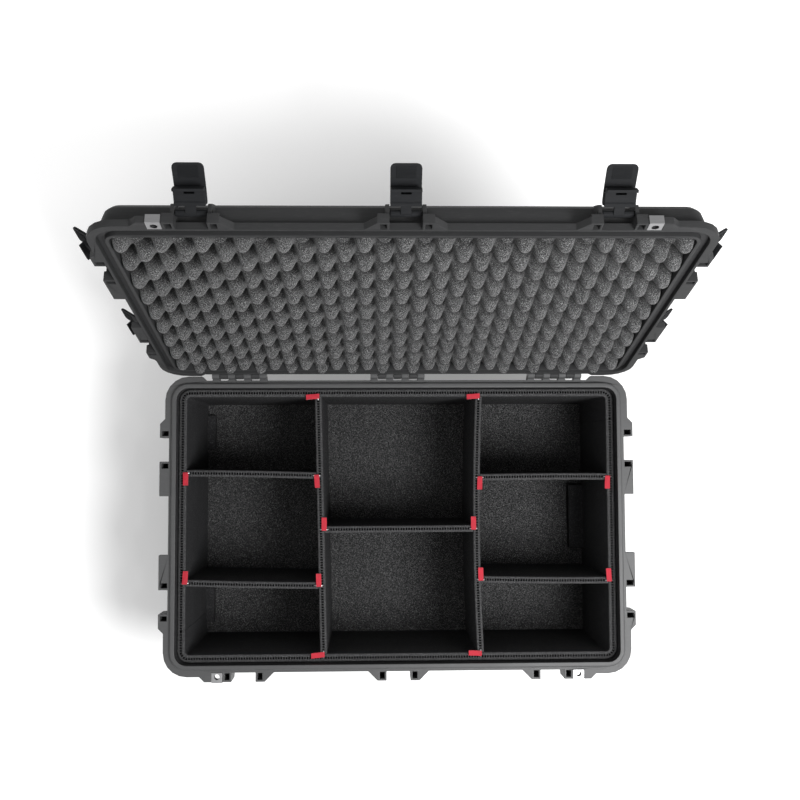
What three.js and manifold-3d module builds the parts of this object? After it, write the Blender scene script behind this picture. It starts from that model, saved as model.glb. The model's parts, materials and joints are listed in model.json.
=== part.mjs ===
// Large wheeled protective case, open: drafted base tub, hinged lid, seven toggle latches and a pinned
// divider liner. Millimetres, Z up. X runs along the case and Y from the latches to the hinges. The origin
// is on the ground, in the middle of the footprint. Every piece of the lid is modelled with the lid shut,
// and a group opens it.
import * as THREE from "three";
import { mergeVertices } from "three/addons/utils/BufferGeometryUtils.js";
import Module from "manifold-3d";

const wasm = await Module();
wasm.setup();

// Fits shared by all pieces
const seat = 0.3; // gap left between pieces that touch
const overrun = 1; // how far a cutter runs past a face
const weld = 0.0001;

// Shell outline and heights
const halfLength = 392; // middle to the plain edge of the flange
const halfDepth = 250.5;
const flangeCorner = 40; // plan radius of the flange's corners
const flangeThickness = 10;
const flangeRecess = 7; // the flange draws in between stations
const wallSetback = 14; // flange edge to outer wall
const wall = 6;
const floorHeight = 30; // ground to the underside of the floor
const floorThickness = 5;
const partingHeight = 260; // top face of the base flange
const baseDraft = 2.5; // lean of each base wall over its height
const baseEdge = 18; // outer radius round the floor
const cornerSteps = 5;
const edgeSteps = 3;

// Tongue, groove and seal
const tongueWidth = 8;
const tongueHeight = 6;
const tongueChamfer = 1.5;
const grooveClearance = 1; // groove wall to the outside of the tongue
const grooveHeight = 10.7; // parting face to the roof of the groove
const lipClearance = 2; // lid lip to the inside of the tongue
const lipThickness = 5;
const lipRoof = 5; // web above the groove
const gasketHeight = 4.1;

// Lid shell
const lidDepth = 47; // lid parting face to the flat top
const lidTopWall = 4.5;
const lidDraft = 1;
const lidEdge = 20; // outer radius round the top
const lidOpenAngle = 106;
const stackRibHeight = 7;
const stackRibWidth = 12;
const stackRibInset = 45.5; // flange edge to the ribs' ends
const stackRibPitch = 38;
const stackRibFirstInset = 244; // flange's end to the innermost rib
const stackRibsPerSide = 5;

// Stations: the gap in the flange where a latch works, between two ears
const stationGap = 40;
const earReach = 8.5; // ears stand proud of the flange edge
const earWidth = 14.5;
const stationInset = 134; // outer front stations from the flange's end
const endStation = 127; // stations on the short ends from the middle
const cornerFlat = 45; // straight run beside an outer front station
const endFlat = 23.5;
const innerFlat = 15;
const squareFlat = 58;
const baseEarDrop = 28; // upright face of an ear below the flange
const baseEarSlope = 16; // sloping underside below that
const lidEarRise = 4; // a lid ear's block above the flange
const lidCheekRise = 18; // the thin cheek beside the latch, which carries its trunnion
const lidCheekSlope = 12;
const lidCheekWidth = 5;
const cellWidth = 8;
const cellDepth = 11; // cell size from inside to outside
const cellOffset = 6; // cell's inner wall behind the flange edge
const baseCellDrop = 29;
const lidCellRise = 12;
const wallRibWidth = 5;
const wallRibReach = 7;
const wallRibFoot = 62; // height where the wall ribs run out

// Hinges
const hingeBack = 1.5; // hinge axis behind the flange edge
const hingeRise = 2; // hinge axis above the parting height
const hingeInset = 125; // flange's end to the middle of an outer hinge
const knuckleRadius = 6.5;
const knuckleSteps = 12;
const pinSteps = 8; // sides of the small pins and their bores
const baseKnuckle = 12.5;
const lidKnuckle = 14;
const hingePinRadius = 2.5;
const hingeShoulder = 10; // plain flange begins this far past the knuckles
const hingeWeb = 22; // height of the web under or over a knuckle
const knucklePairs = 3;

// Latches
const latchClearance = 1; // latch to each ear
const pivotRise = 18.7; // latch pivot above the lid's parting face
const barrelRadius = 4.5;
const trunnionRadius = 2.5;
const trunnionLength = 5;
const cheekWidth = 3.5; // lever's cheek beside the link, with its clearance
const linkBack = 5.2; // back of the link plate behind the pivot
const linkPlate = 3.5;
const linkWeb = 13; // width of the web between the barrel and the cross bar
const barRise = 3.5; // top of the cross bar above the lever's pivot
const toeDepth = 3.5;
const toeReach = 12; // toe behind the pivot, under the base flange
const toeSeat = 0.5; // toe to the underside of the base flange
const leverPivotOut = 4;
const leverPivotDrop = 14;
const leverPinRadius = 2.2;
const leverPlate = 3;
const leverTop = 8; // top of the lever above its pivot
const leverDrop = 46.5; // tip of the lever below its pivot
const leverKnee = 20; // where the lever starts to lean in
const leverLean = 6.2; // how far the tip leans in
const leverTipRadius = 6;
const cheekDrop = 7;
const slotWidth = 12.6;
const slotHeight = 3.6;
const slotRise = 0.9; // slot above the toe
const latchThrow = 132; // how far the latches are thrown open

// Padlock plates on the outer front stations
const plateGauge = 0.9;
const plateLength = 18;
const plateReach = 15; // from the ear's face inwards
const padlockOffset = 44; // hole from the station's middle
const padlockRadius = 5.5;
const eyeletRadius = 4.7;

// Underside
const keelWidth = 8;
const railWidth = 6;
const innerRail = 96;
const middleRail = 150;
const outerRail = 206;
const railStartInset = 62; // flange's end to the rails, at the wheels
const railEndInset = 26;
const crossRibs = 6;
const crossRibRise = 8;

// Wheels at the left end
const wheelRadius = 24;
const wheelWidth = 42;
const wheelInset = 20; // wheel centre inside the flange edge
const wheelOffset = 162; // from the middle, to each side
const wheelLift = 1; // tyre above the ground while the case stands
const wheelClearance = 3;
const housingWall = 8;
const housingSkin = 4;
const axleRadius = 4;
const hubRadius = 10;
const hubRecess = 6;
const tyreChamfer = 3;
const wheelSteps = 16;

// Pull handle at the right end
const pullTubeRadius = 6;
const pullTubeOffset = 38;
const pullTubeHeight = 17;
const channelStart = 45;
const channelEnd = 10; // closed end of the channel behind the tubes
const channelHalfWidth = 52;
const channelFoot = 4;
const channelWeb = 5;
const pocketDepth = 57; // flange edge to the back of the pocket
const pocketHalfWidth = 54;
const pocketHeight = 56;
const gripClearance = 6; // grip to each side of the pocket
const gripBar = 18;
const gripArm = 18;
const gripArmWidth = 16;
const gripFoot = 7;
const gripHeight = 34;
const gripSetback = 18; // grip's face inside the flange edge

// Fold-down handles
const handlePivotHeight = 166;
const handleThickness = 14;
const handleSetback = 2; // gap to the wall
const handleDrop = 74;
const handleGrip = 20;
const handleArm = 15;
const frontHandleHalf = 80;
const endHandleHalf = 62;
const handlePinRadius = 4;
const handlePinLength = 8;
const lugWidth = 14;
const lugHalfHeight = 13;

// Pressure valve on the front wall
const valvePosition = 150;
const valveDrop = 64; // below the parting face
const valveRadius = 15;
const valveKnobRadius = 11;
const valveCollar = 3;
const valveKnob = 6;

// Divider liner
const padThickness = 12;
const linerDrop = 12; // top of the liner below the parting face
const linerGap = 1; // liner to the wall of the tub
const panelThickness = 13;
const panelSeam = 0.6;
const seamPosition = 176; // seams on the end walls, from the middle
const dividerThickness = 11.5;
const longDividers = {
  left: { rear: -135.2, front: -125.6, bow: 0 },
  right: { rear: 139.2, front: 139, bow: 5.2 },
};
const longSteps = 8;
const dividerBow = 0.8; // how far a cross divider bows
const bowSteps = 4;
const dividerSeat = 0.4;

// Divider pins
const pinWireRadius = 1;
const wireSteps = 4;
const pinSpan = 12.5; // between the two legs
const pinDrop = 60;
const pinSetback = 5.5; // leg behind the end of the divider
const fluteClearance = 0.35;
const tagWidth = 9.5;
const tagLength = 22;
const tagThickness = 1.5;

// Egg-crate foam in the lid
const foamPitch = 50.5;
const foamWave = 19; // half of the height from valley to peak
const foamClearance = 2; // peaks to the divider pins with the lid shut
const foamGap = 1; // foam to the lid's lip

// Sizes that follow from those above
const frontStation = halfLength - stationInset;
const hingeSpacing = halfLength - hingeInset;
const railStart = railStartInset - halfLength;
const railEnd = halfLength - railEndInset;
const stackRibFirst = halfLength - stackRibFirstInset;
const stackRibReach = halfDepth - stackRibInset;
const valveHeight = partingHeight - valveDrop;
const linerTop = partingHeight - linerDrop;
const barBack = flangeRecess - seat; // back of the cross bar, against the flange
const latchWidth = stationGap - 2 * latchClearance;
const linkWidth = latchWidth - 2 * cheekWidth;
const gripHalfWidth = pocketHalfWidth - gripClearance;
const pullTubeStart = channelStart + channelEnd;
const pinTop = linerTop + seat + 2 * pinWireRadius;
const knuckleRow = knucklePairs * (baseKnuckle + lidKnuckle) + baseKnuckle;

// Finishes
const shellGrey = new THREE.MeshStandardMaterial({ color: 0x3c3e40, roughness: 0.62, metalness: 0 });
const lidGrey = new THREE.MeshStandardMaterial({ color: 0x2d2f31, roughness: 0.65, metalness: 0 });
const latchBlack = new THREE.MeshStandardMaterial({ color: 0x1c1d1f, roughness: 0.5, metalness: 0 });
const handleBlack = new THREE.MeshStandardMaterial({ color: 0x202123, roughness: 0.7, metalness: 0 });
const rubberBlack = new THREE.MeshStandardMaterial({ color: 0x111213, roughness: 0.85, metalness: 0 });
const foamCharcoal = new THREE.MeshStandardMaterial({ color: 0x3a3b3d, roughness: 1, metalness: 0 });
const linerBlack = new THREE.MeshStandardMaterial({ color: 0x161718, roughness: 0.95, metalness: 0 });
const tagRed = new THREE.MeshStandardMaterial({ color: 0xe12d3c, roughness: 0.7, metalness: 0 });
const brightSteel = new THREE.MeshStandardMaterial({ color: 0xc9cacc, roughness: 0.3, metalness: 1 });

// Closed geometry to a solid and back
function toSolid(geometry) {
  const loose = geometry.index ? geometry.toNonIndexed() : geometry;
  const bare = new THREE.BufferGeometry().setAttribute("position", loose.getAttribute("position"));
  const merged = mergeVertices(bare, weld);
  const mesh = new wasm.Mesh({
    numProp: 3,
    vertProperties: merged.attributes.position.array,
    triVerts: new Uint32Array(merged.index.array),
  });
  return new wasm.Manifold(mesh);
}

function toGeometry(solid) {
  const mesh = solid.getMesh();
  const geometry = new THREE.BufferGeometry();
  geometry.setAttribute("position", new THREE.BufferAttribute(new Float32Array(mesh.vertProperties), 3));
  geometry.setIndex(new THREE.BufferAttribute(new Uint32Array(mesh.triVerts), 1));
  return geometry;
}

function fuse(pieces) {
  return toGeometry(pieces.map(toSolid).reduce((sum, piece) => sum.add(piece)));
}

function cutFrom(body, cutters) {
  return toGeometry(cutters.map(toSolid).reduce((rest, cutter) => rest.subtract(cutter), toSolid(body)));
}

function keepWithin(body, limit) {
  return toGeometry(toSolid(body).intersect(toSolid(limit)));
}

// A box between two corners
function block(low, high) {
  const size = high.map((value, axis) => value - low[axis]);
  const middle = high.map((value, axis) => (value + low[axis]) / 2);
  return new THREE.BoxGeometry(...size).translate(...middle);
}

// An outline of [x, y] points, upright from low to high
function prism(outline, low, high) {
  const shape = new THREE.Shape(outline.map(([x, y]) => new THREE.Vector2(x, y)));
  const options = { depth: high - low, bevelEnabled: false, steps: 1 };
  return new THREE.ExtrudeGeometry(shape, options).translate(0, 0, low);
}

// An outline of [y, z] points, run along X
function barAlongX(outline, from, to) {
  const turn = new THREE.Matrix4().makeBasis(
    new THREE.Vector3(0, 1, 0), new THREE.Vector3(0, 0, 1), new THREE.Vector3(1, 0, 0));
  return prism(outline, from, to).applyMatrix4(turn);
}

// An outline of [x, z] points, run along Y
function barAlongY(outline, from, to) {
  const turn = new THREE.Matrix4().makeBasis(
    new THREE.Vector3(1, 0, 0), new THREE.Vector3(0, 0, 1), new THREE.Vector3(0, -1, 0));
  return prism(outline, -to, -from).applyMatrix4(turn);
}

// A regular polygon of [x, y] points with flats facing the axes
function roundOutline(radius, steps, x = 0, y = 0) {
  return Array.from({ length: steps }, (_, index) => {
    const angle = ((index + 1 / 2) * 2 * Math.PI) / steps;
    return [x + radius * Math.cos(angle), y + radius * Math.sin(angle)];
  });
}

function rodAlongX(radius, from, to, y, z, steps = knuckleSteps) {
  return barAlongX(roundOutline(radius, steps, y, z), from, to);
}

// The stretch from near to far on one hand of a middle, low end first
function span(hand, near, far, middle = 0) {
  return [middle + hand * near, middle + hand * far].sort((a, b) => a - b);
}

// A rounded rectangle that follows the flange's plan, drawn in by an inset
function planRing(inset, z, steps) {
  const radius = Math.max(flangeCorner - inset, wall);
  const x = halfLength - inset - radius;
  const y = halfDepth - inset - radius;
  const ring = [];
  [[x, -y, -1], [x, y, 0], [-x, y, 1], [-x, -y, 2]].forEach(([centreX, centreY, quarter]) => {
    for (let step = 0; step <= steps; step += 1) {
      const angle = ((quarter + step / steps) * Math.PI) / 2;
      ring.push([centreX + radius * Math.cos(angle), centreY + radius * Math.sin(angle), z]);
    }
  });
  return ring;
}

// A closed stack of such rings, given as [height, inset] from the bottom up
function stack(levels, steps = cornerSteps) {
  const rings = levels.map(([z, inset]) => planRing(inset, z, steps));
  const count = rings[0].length;
  const triangles = [];
  for (let level = 1; level < rings.length; level += 1) {
    for (let index = 0; index < count; index += 1) {
      const next = (index + 1) % count;
      const [a, b] = [rings[level - 1][index], rings[level - 1][next]];
      const [c, d] = [rings[level][next], rings[level][index]];
      triangles.push(a, b, c, a, c, d);
    }
  }
  const [bottom, top] = [rings[0], rings[rings.length - 1]];
  for (let index = 1; index < count - 1; index += 1) {
    triangles.push(bottom[0], bottom[index + 1], bottom[index]);
    triangles.push(top[0], top[index], top[index + 1]);
  }
  const geometry = new THREE.BufferGeometry();
  geometry.setAttribute("position", new THREE.Float32BufferAttribute(triangles.flat(), 3));
  return geometry;
}

// Stations round the flange. A side's frame has X along the side and -Y outwards, from the plain edge.
const sides = {
  front: { quarter: 0, reach: halfDepth, half: halfLength },
  right: { quarter: 1, reach: halfLength, half: halfDepth },
  back: { quarter: 2, reach: halfDepth, half: halfLength },
  left: { quarter: 3, reach: halfLength, half: halfDepth },
};
const stations = [
  { name: "front_left", side: "front", at: -frontStation, low: "corner", high: "taper" },
  { name: "front_middle", side: "front", at: 0, low: "taper", high: "taper" },
  { name: "front_right", side: "front", at: frontStation, low: "taper", high: "corner" },
  { name: "right_front", side: "right", at: -endStation, low: "corner", high: "square" },
  { name: "right_rear", side: "right", at: endStation, low: "square", high: "corner" },
  { name: "left_rear", side: "left", at: -endStation, low: "corner", high: "square" },
  { name: "left_front", side: "left", at: endStation, low: "square", high: "corner" },
];

function sideMatrix(side) {
  const { quarter, reach } = sides[side];
  return new THREE.Matrix4()
    .makeRotationZ((quarter * Math.PI) / 2)
    .multiply(new THREE.Matrix4().makeTranslation(0, -reach, 0));
}

function onSide(side, geometry) {
  return geometry.clone().applyMatrix4(sideMatrix(side));
}

// Points of one half of a station, from its far end to the latch gap, as [distance from the middle, outward]
function wing(kind, side) {
  const flats = { corner: side === "front" ? cornerFlat : endFlat, taper: innerFlat, square: squareFlat };
  const tapers = { corner: earReach, taper: earReach + flangeRecess, square: 0 };
  const level = kind === "corner" ? 0 : -flangeRecess;
  const edge = stationGap / 2;
  return [
    [edge + flats[kind] + tapers[kind], level],
    [edge + flats[kind], earReach],
    [edge, earReach],
    [edge, -flangeRecess],
  ];
}

function sidePoints(name) {
  if (name === "back") {
    const shoulder = hingeSpacing + knuckleRow / 2 + hingeShoulder;
    return [[-shoulder - flangeRecess, 0], [-shoulder, -flangeRecess],
      [shoulder, -flangeRecess], [shoulder + flangeRecess, 0]];
  }
  return stations.filter(({ side }) => side === name).flatMap(({ side, at, low, high }) => [
    ...wing(low, side).map(([along, out]) => [at - along, out]),
    ...wing(high, side).reverse().map(([along, out]) => [at + along, out]),
  ]);
}

// The flange's whole outline, corner by corner
function flangeOutline() {
  const outline = [];
  Object.entries(sides).forEach(([name, { reach, half, quarter }]) => {
    const turn = (along, out) => {
      const point = new THREE.Vector2(along, -reach - out);
      point.rotateAround(new THREE.Vector2(), (quarter * Math.PI) / 2);
      return [point.x, point.y];
    };
    sidePoints(name).forEach(([along, out]) => outline.push(turn(along, out)));
    for (let step = 0; step <= cornerSteps; step += 1) {
      const angle = ((step / cornerSteps) * Math.PI) / 2;
      const along = half - flangeCorner + flangeCorner * Math.sin(angle);
      outline.push(turn(along, flangeCorner * (Math.cos(angle) - 1)));
    }
  });
  return outline;
}

// Both ears of a station: profile is in [y, z] with the shell's flange edge at y = 0
function ears(station, profile, width = earWidth) {
  const edge = stationGap / 2;
  return [-1, 1].map((hand) => {
    const [from, to] = span(hand, edge, edge + width, station.at);
    return onSide(station.side, barAlongX(profile, from, to));
  });
}

function earCells(station, low, high) {
  const middle = stationGap / 2 + earWidth / 2;
  return [-1, 1].map((hand) => {
    const centre = station.at + hand * middle;
    const box = block(
      [centre - cellWidth / 2, cellOffset - cellDepth, low],
      [centre + cellWidth / 2, cellOffset, high]);
    return onSide(station.side, box);
  });
}

// Hinges
const hingeY = halfDepth + hingeBack;
const hingeZ = partingHeight + hingeRise;
const hingeCentres = [-hingeSpacing, 0, hingeSpacing];

function knuckles(centre, onLid) {
  const pitch = baseKnuckle + lidKnuckle;
  const count = onLid ? knucklePairs : knucklePairs + 1;
  const width = (onLid ? lidKnuckle : baseKnuckle) - seat;
  const flip = onLid ? 1 : -1;
  const near = onLid ? seat - hingeRise : -hingeRise; // the flange's parting face
  const far = near + flip * flangeThickness;
  const lug = [
    [-2 * hingePinRadius - wall, near], [-hingePinRadius, near], [0, 0],
    [knuckleRadius * Math.SQRT1_2, flip * knuckleRadius * Math.SQRT1_2],
    [-hingePinRadius, far],
    [hingeBack - wallSetback - wall / 2, far + flip * (hingeWeb - flangeThickness)],
    [hingeBack - wallSetback - wall / 2, near],
  ].map(([y, z]) => [y + hingeY, z + hingeZ]);
  const first = centre - ((count - 1) * pitch) / 2;
  return Array.from({ length: count }, (_, index) => first + index * pitch).flatMap((x) => [
    barAlongX(lug, x - width / 2, x + width / 2),
    rodAlongX(knuckleRadius, x - width / 2, x + width / 2, hingeY, hingeZ),
  ]);
}

const hingeBores = hingeCentres.map((x) => rodAlongX(
  hingePinRadius + seat, x - knuckleRow / 2 - overrun, x + knuckleRow / 2 + overrun, hingeY, hingeZ, pinSteps));

// Tub forms
const floorTop = floorHeight + floorThickness;
const tubHeight = partingHeight - floorHeight;

function tubInset(z) {
  return wallSetback + (baseDraft * (partingHeight - z)) / tubHeight;
}

// Rings of a tub whose floor edge is a quarter round
function tubLevels(bottom, radius, top, extra) {
  const levels = [];
  for (let step = 0; step <= edgeSteps; step += 1) {
    const angle = ((step / edgeSteps) * Math.PI) / 2;
    const z = bottom + radius * (1 - Math.cos(angle));
    levels.push([z, tubInset(z) + extra + radius * (1 - Math.sin(angle))]);
  }
  levels.push([top, tubInset(Math.min(top, partingHeight)) + extra]);
  return levels;
}

const cavityEdge = baseEdge - wall;
const tongueTop = partingHeight + tongueHeight;
const tongueInset = wallSetback + wall - tongueWidth;

function baseEars(station) {
  const inner = wallSetback + wall / 2;
  const under = partingHeight - flangeThickness;
  return ears(station, [
    [inner, partingHeight - flangeThickness / 2], [-earReach, partingHeight - flangeThickness / 2],
    [-earReach, under - baseEarDrop], [inner, under - baseEarDrop - baseEarSlope],
  ]);
}

// A rib down the wall below each ear, running out towards the floor
function wallRibs(station) {
  const top = partingHeight - flangeThickness - baseEarDrop;
  const inner = wallSetback + wall / 2;
  // The middle pair ends above the handle
  const foot = station.at === 0 ? handlePivotHeight + handleThickness : wallRibFoot;
  const profile = [[inner, top], [wallSetback - wallRibReach, top], [wallSetback, foot], [inner, foot]];
  return [-1, 1].map((hand) => {
    const middle = station.at + hand * (stationGap / 2 + earWidth / 2);
    return onSide(station.side, barAlongX(profile, middle - wallRibWidth / 2, middle + wallRibWidth / 2));
  });
}

function padlockStations() {
  return stations.filter(({ side, at }) => side === "front" && at !== 0);
}

function padlockCentre(station) {
  return station.at + Math.sign(station.at) * padlockOffset;
}

// Hole and plate seat for a padlock, through one flange
function padlockCuts(station, low, high, seatSide) {
  const x = padlockCentre(station);
  const hole = prism(roundOutline(padlockRadius, knuckleSteps, x, 0), low - overrun, high + overrun);
  const depth = plateGauge + seat;
  const [seatLow, seatHigh] = seatSide > 0 ? [high - depth, high + overrun] : [low - overrun, low + depth];
  const half = plateLength / 2 + seat;
  const recess = block(
    [x - half, -earReach - overrun, seatLow],
    [x + half, plateReach - earReach + seat, seatHigh]);
  return [hole, recess].map((cutter) => onSide("front", cutter));
}

// A plate folded round the flange's edge, with a hole through both leaves
function padlockPlate(station, low, high, seatSide) {
  const x = padlockCentre(station);
  const innerLow = seatSide > 0 ? low - seat : low + plateGauge;
  const innerHigh = seatSide > 0 ? high - plateGauge : high + seat;
  const front = -earReach - seat;
  const back = plateReach - earReach;
  const profile = [
    [back, innerLow - plateGauge], [back, innerLow], [front, innerLow], [front, innerHigh],
    [back, innerHigh], [back, innerHigh + plateGauge], [front - plateGauge, innerHigh + plateGauge],
    [front - plateGauge, innerLow - plateGauge],
  ];
  const folded = barAlongX(profile, x - plateLength / 2, x + plateLength / 2);
  const hole = prism(roundOutline(eyeletRadius, knuckleSteps, x, 0), low - wall, high + wall);
  return onSide("front", cutFrom(folded, [hole]));
}

// Wheel housings at the left end
const wheelX = wheelInset - halfLength;
const wheelZ = wheelRadius + wheelLift;
const wellHalf = wheelWidth / 2 + wheelClearance;
const wellEnd = wheelX + wheelRadius + wheelClearance;
const wellTop = wheelZ + wheelRadius + wheelClearance;
const housingEnd = wellEnd + housingSkin;
const housingTop = wellTop + housingSkin;
const housingHalf = wellHalf + housingWall;

function wheelHousing(hand) {
  const y = hand * wheelOffset;
  const outer = wheelX - wheelRadius / 2;
  const profile = [
    [outer, wheelZ - wheelRadius / 2], [outer + wheelRadius / 4, wheelZ - wheelRadius + axleRadius],
    [housingEnd, wheelZ - wheelRadius + axleRadius], [housingEnd, housingTop],
    [wheelX, housingTop], [outer, wheelZ + wheelRadius / 2],
  ];
  return barAlongY(profile, y - housingHalf, y + housingHalf);
}

function wheelWell(hand) {
  const y = hand * wheelOffset;
  return block(
    [-halfLength - earReach, y - wellHalf, -overrun],
    [wellEnd, y + wellHalf, wellTop]);
}

// A rod along Y at the wheels' axis
function rodAtWheel(radius, half, hand, steps) {
  const y = hand * wheelOffset;
  return barAlongY(roundOutline(radius, steps, wheelX, wheelZ), y - half, y + half);
}

const axleHalf = housingHalf - housingWall / 4;

// Pocket at the right end, where the pull handle parks
const pocketBack = halfLength - pocketDepth;
const pocketShell = block(
  [pocketBack - wall, -pocketHalfWidth - wall, floorHeight],
  [halfLength - wallSetback - wall / 2, pocketHalfWidth + wall, pocketHeight + wall]);
const pocket = block(
  [pocketBack, -pocketHalfWidth, -overrun],
  [halfLength + overrun, pocketHalfWidth, pocketHeight]);

// Fold-down handles and the lugs that carry them
const handleOut = wallSetback - handleSetback - handleThickness / 2; // pivot behind the flange edge

function handleLugs(side, half) {
  const profile = [
    [wallSetback + wall / 2, handlePivotHeight - lugHalfHeight * 2],
    [handleOut - handleThickness / 2, handlePivotHeight - lugHalfHeight / 2],
    [handleOut - handleThickness / 2, handlePivotHeight + lugHalfHeight / 2],
    [wallSetback + wall / 2, handlePivotHeight + lugHalfHeight * 2],
  ];
  return [-1, 1].map((hand) => {
    const [from, to] = span(hand, half + seat, half + seat + lugWidth);
    return onSide(side, barAlongX(profile, from, to));
  });
}

function handleBores(side, half) {
  return [-1, 1].map((hand) => {
    const [from, to] = span(hand, half, half + handlePinLength + 2 * seat);
    return onSide(side, rodAlongX(handlePinRadius + seat, from, to, handleOut, handlePivotHeight));
  });
}

// A bail handle about its pivot: two arms, a grip and two stub pins
function foldingHandle(half) {
  const round = handleThickness / 2;
  const armTop = roundOutline(round, knuckleSteps);
  const arm = [[-round, 0], [round, 0], [round, -handleDrop + round], [-round, -handleDrop + round]];
  const chamfer = round / 2;
  const grip = [
    [-round, -handleDrop + chamfer], [-round + chamfer, -handleDrop], [round - chamfer, -handleDrop],
    [round, -handleDrop + chamfer], [round, -handleDrop + handleGrip - chamfer],
    [round - chamfer, -handleDrop + handleGrip], [-round + chamfer, -handleDrop + handleGrip],
    [-round, -handleDrop + handleGrip - chamfer],
  ];
  const pieces = [barAlongX(grip, -half, half)];
  [-1, 1].forEach((hand) => {
    const [from, to] = span(hand, half - handleArm, half);
    const [pinFrom, pinTo] = span(hand, half - overrun, half + handlePinLength);
    pieces.push(barAlongX(armTop, from, to), barAlongX(arm, from, to));
    pieces.push(rodAlongX(handlePinRadius, pinFrom, pinTo, 0, 0));
  });
  return fuse(pieces);
}

// Ribs under the floor
function undersideRibs() {
  const sink = floorHeight + floorThickness / 2;
  const bevel = floorHeight / 2;
  const rail = (from, to, foot) => [[from + bevel, foot], [to - bevel, foot], [to, sink], [from, sink]];
  const keelEnd = channelStart - seat;
  const ribs = [barAlongY(rail(railStart, keelEnd, 0), -keelWidth / 2, keelWidth / 2)];
  [innerRail, middleRail, outerRail].forEach((y) => [-1, 1].forEach((hand) => {
    const [from, to] = span(hand, y - railWidth / 2, y + railWidth / 2);
    ribs.push(barAlongY(rail(railStart, railEnd, 0), from, to));
  }));
  for (let index = 0; index < crossRibs; index += 1) {
    const x = railStart + bevel * 2 + ((railEnd - railStart - bevel * 4) * index) / (crossRibs - 1);
    const start = x < keelEnd ? 0 : innerRail;
    [-1, 1].forEach((hand) => {
      const [from, to] = span(hand, start, outerRail);
      ribs.push(block([x - railWidth / 2, from, crossRibRise], [x + railWidth / 2, to, sink]));
    });
  }
  return ribs;
}

function baseShell() {
  const flangeLow = partingHeight - flangeThickness;
  const cellFoot = flangeLow - baseCellDrop;
  const added = [
    stack(tubLevels(floorHeight, baseEdge, partingHeight - flangeThickness / 2, 0)),
    prism(flangeOutline(), flangeLow, partingHeight),
    stack([
      [partingHeight - flangeThickness / 2, tongueInset], [tongueTop - tongueChamfer, tongueInset],
      [tongueTop, tongueInset + tongueChamfer]]),
    ...stations.flatMap(baseEars),
    ...stations.flatMap(wallRibs),
    ...hingeCentres.flatMap((x) => knuckles(x, false)),
    ...undersideRibs(),
    wheelHousing(-1), wheelHousing(1),
    ...handleLugs("front", frontHandleHalf),
    ...handleLugs("right", endHandleHalf),
  ];
  const hollow = cutFrom(
    stack(tubLevels(floorTop, cavityEdge, tongueTop + overrun, wall)),
    [pocketShell, wheelHousing(-1), wheelHousing(1)]);
  const removed = [
    hollow, pocket, wheelWell(-1), wheelWell(1),
    rodAtWheel(axleRadius + seat, axleHalf + seat, -1, knuckleSteps),
    rodAtWheel(axleRadius + seat, axleHalf + seat, 1, knuckleSteps),
    ...hingeBores,
    ...stations.flatMap((station) => earCells(station, cellFoot, partingHeight + overrun)),
    ...padlockStations().flatMap((station) => padlockCuts(station, flangeLow, partingHeight, 1)),
    ...handleBores("front", frontHandleHalf),
    ...handleBores("right", endHandleHalf),
  ];
  return cutFrom(fuse([...added, pocketShell]), removed);
}

// Lid, modelled shut
const lidLow = partingHeight + seat;
const lidTop = lidLow + lidDepth;
const lidCeiling = lidTop - lidTopWall;
const lidFlangeTop = lidLow + flangeThickness;
const grooveInset = tongueInset - grooveClearance;
const lipOuter = wallSetback + wall + lipClearance;
const lipInner = lipOuter + lipThickness;
const pivotZ = lidLow + pivotRise;

// Rings of a lid whose top edge is a quarter round
function lidLevels(low, radius, top, extra) {
  const levels = [[low, wallSetback + extra]];
  for (let step = 0; step <= edgeSteps; step += 1) {
    const angle = ((step / edgeSteps) * Math.PI) / 2;
    const z = top - radius * (1 - Math.sin(angle));
    levels.push([z, wallSetback + lidDraft + extra + radius * (1 - Math.cos(angle))]);
  }
  return levels;
}

// A block over the flange, and a thin cheek beside the latch that rises past the trunnion
function lidEars(station) {
  const inner = wallSetback + wall / 2;
  const low = lidLow + flangeThickness / 2;
  const high = lidFlangeTop + lidCheekRise;
  const block = [
    [inner, low], [-earReach, low], [-earReach, lidFlangeTop + lidEarRise],
    [inner, lidFlangeTop + lidEarRise + earReach / 2]];
  const cheek = [
    [inner, low], [wall / 2 - earReach, low], [wall / 2 - earReach, high],
    [-earReach / 4, high + earReach / 4], [inner, high + lidCheekSlope]];
  return [...ears(station, block), ...ears(station, cheek, lidCheekWidth)];
}

function trunnionBores(station) {
  return [-1, 1].map((hand) => {
    const edge = stationGap / 2;
    const [from, to] = span(hand, edge - overrun, edge + trunnionLength + seat, station.at);
    return onSide(station.side, rodAlongX(trunnionRadius + seat, from, to, 0, pivotZ, pinSteps));
  });
}

function stackRibs() {
  const ribs = [];
  const sink = lidTop - lidTopWall / 2;
  const profile = [
    [-stackRibReach - stackRibHeight, sink], [stackRibReach + stackRibHeight, sink],
    [stackRibReach, lidTop + stackRibHeight], [-stackRibReach, lidTop + stackRibHeight],
  ];
  for (let index = 0; index < stackRibsPerSide; index += 1) {
    const x = stackRibFirst + index * stackRibPitch;
    [-1, 1].forEach((hand) => {
      const [from, to] = span(hand, x - stackRibWidth / 2, x + stackRibWidth / 2);
      ribs.push(barAlongX(profile, from, to));
    });
  }
  return ribs;
}

const lidInnerEdge = lidEdge - wall;

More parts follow.
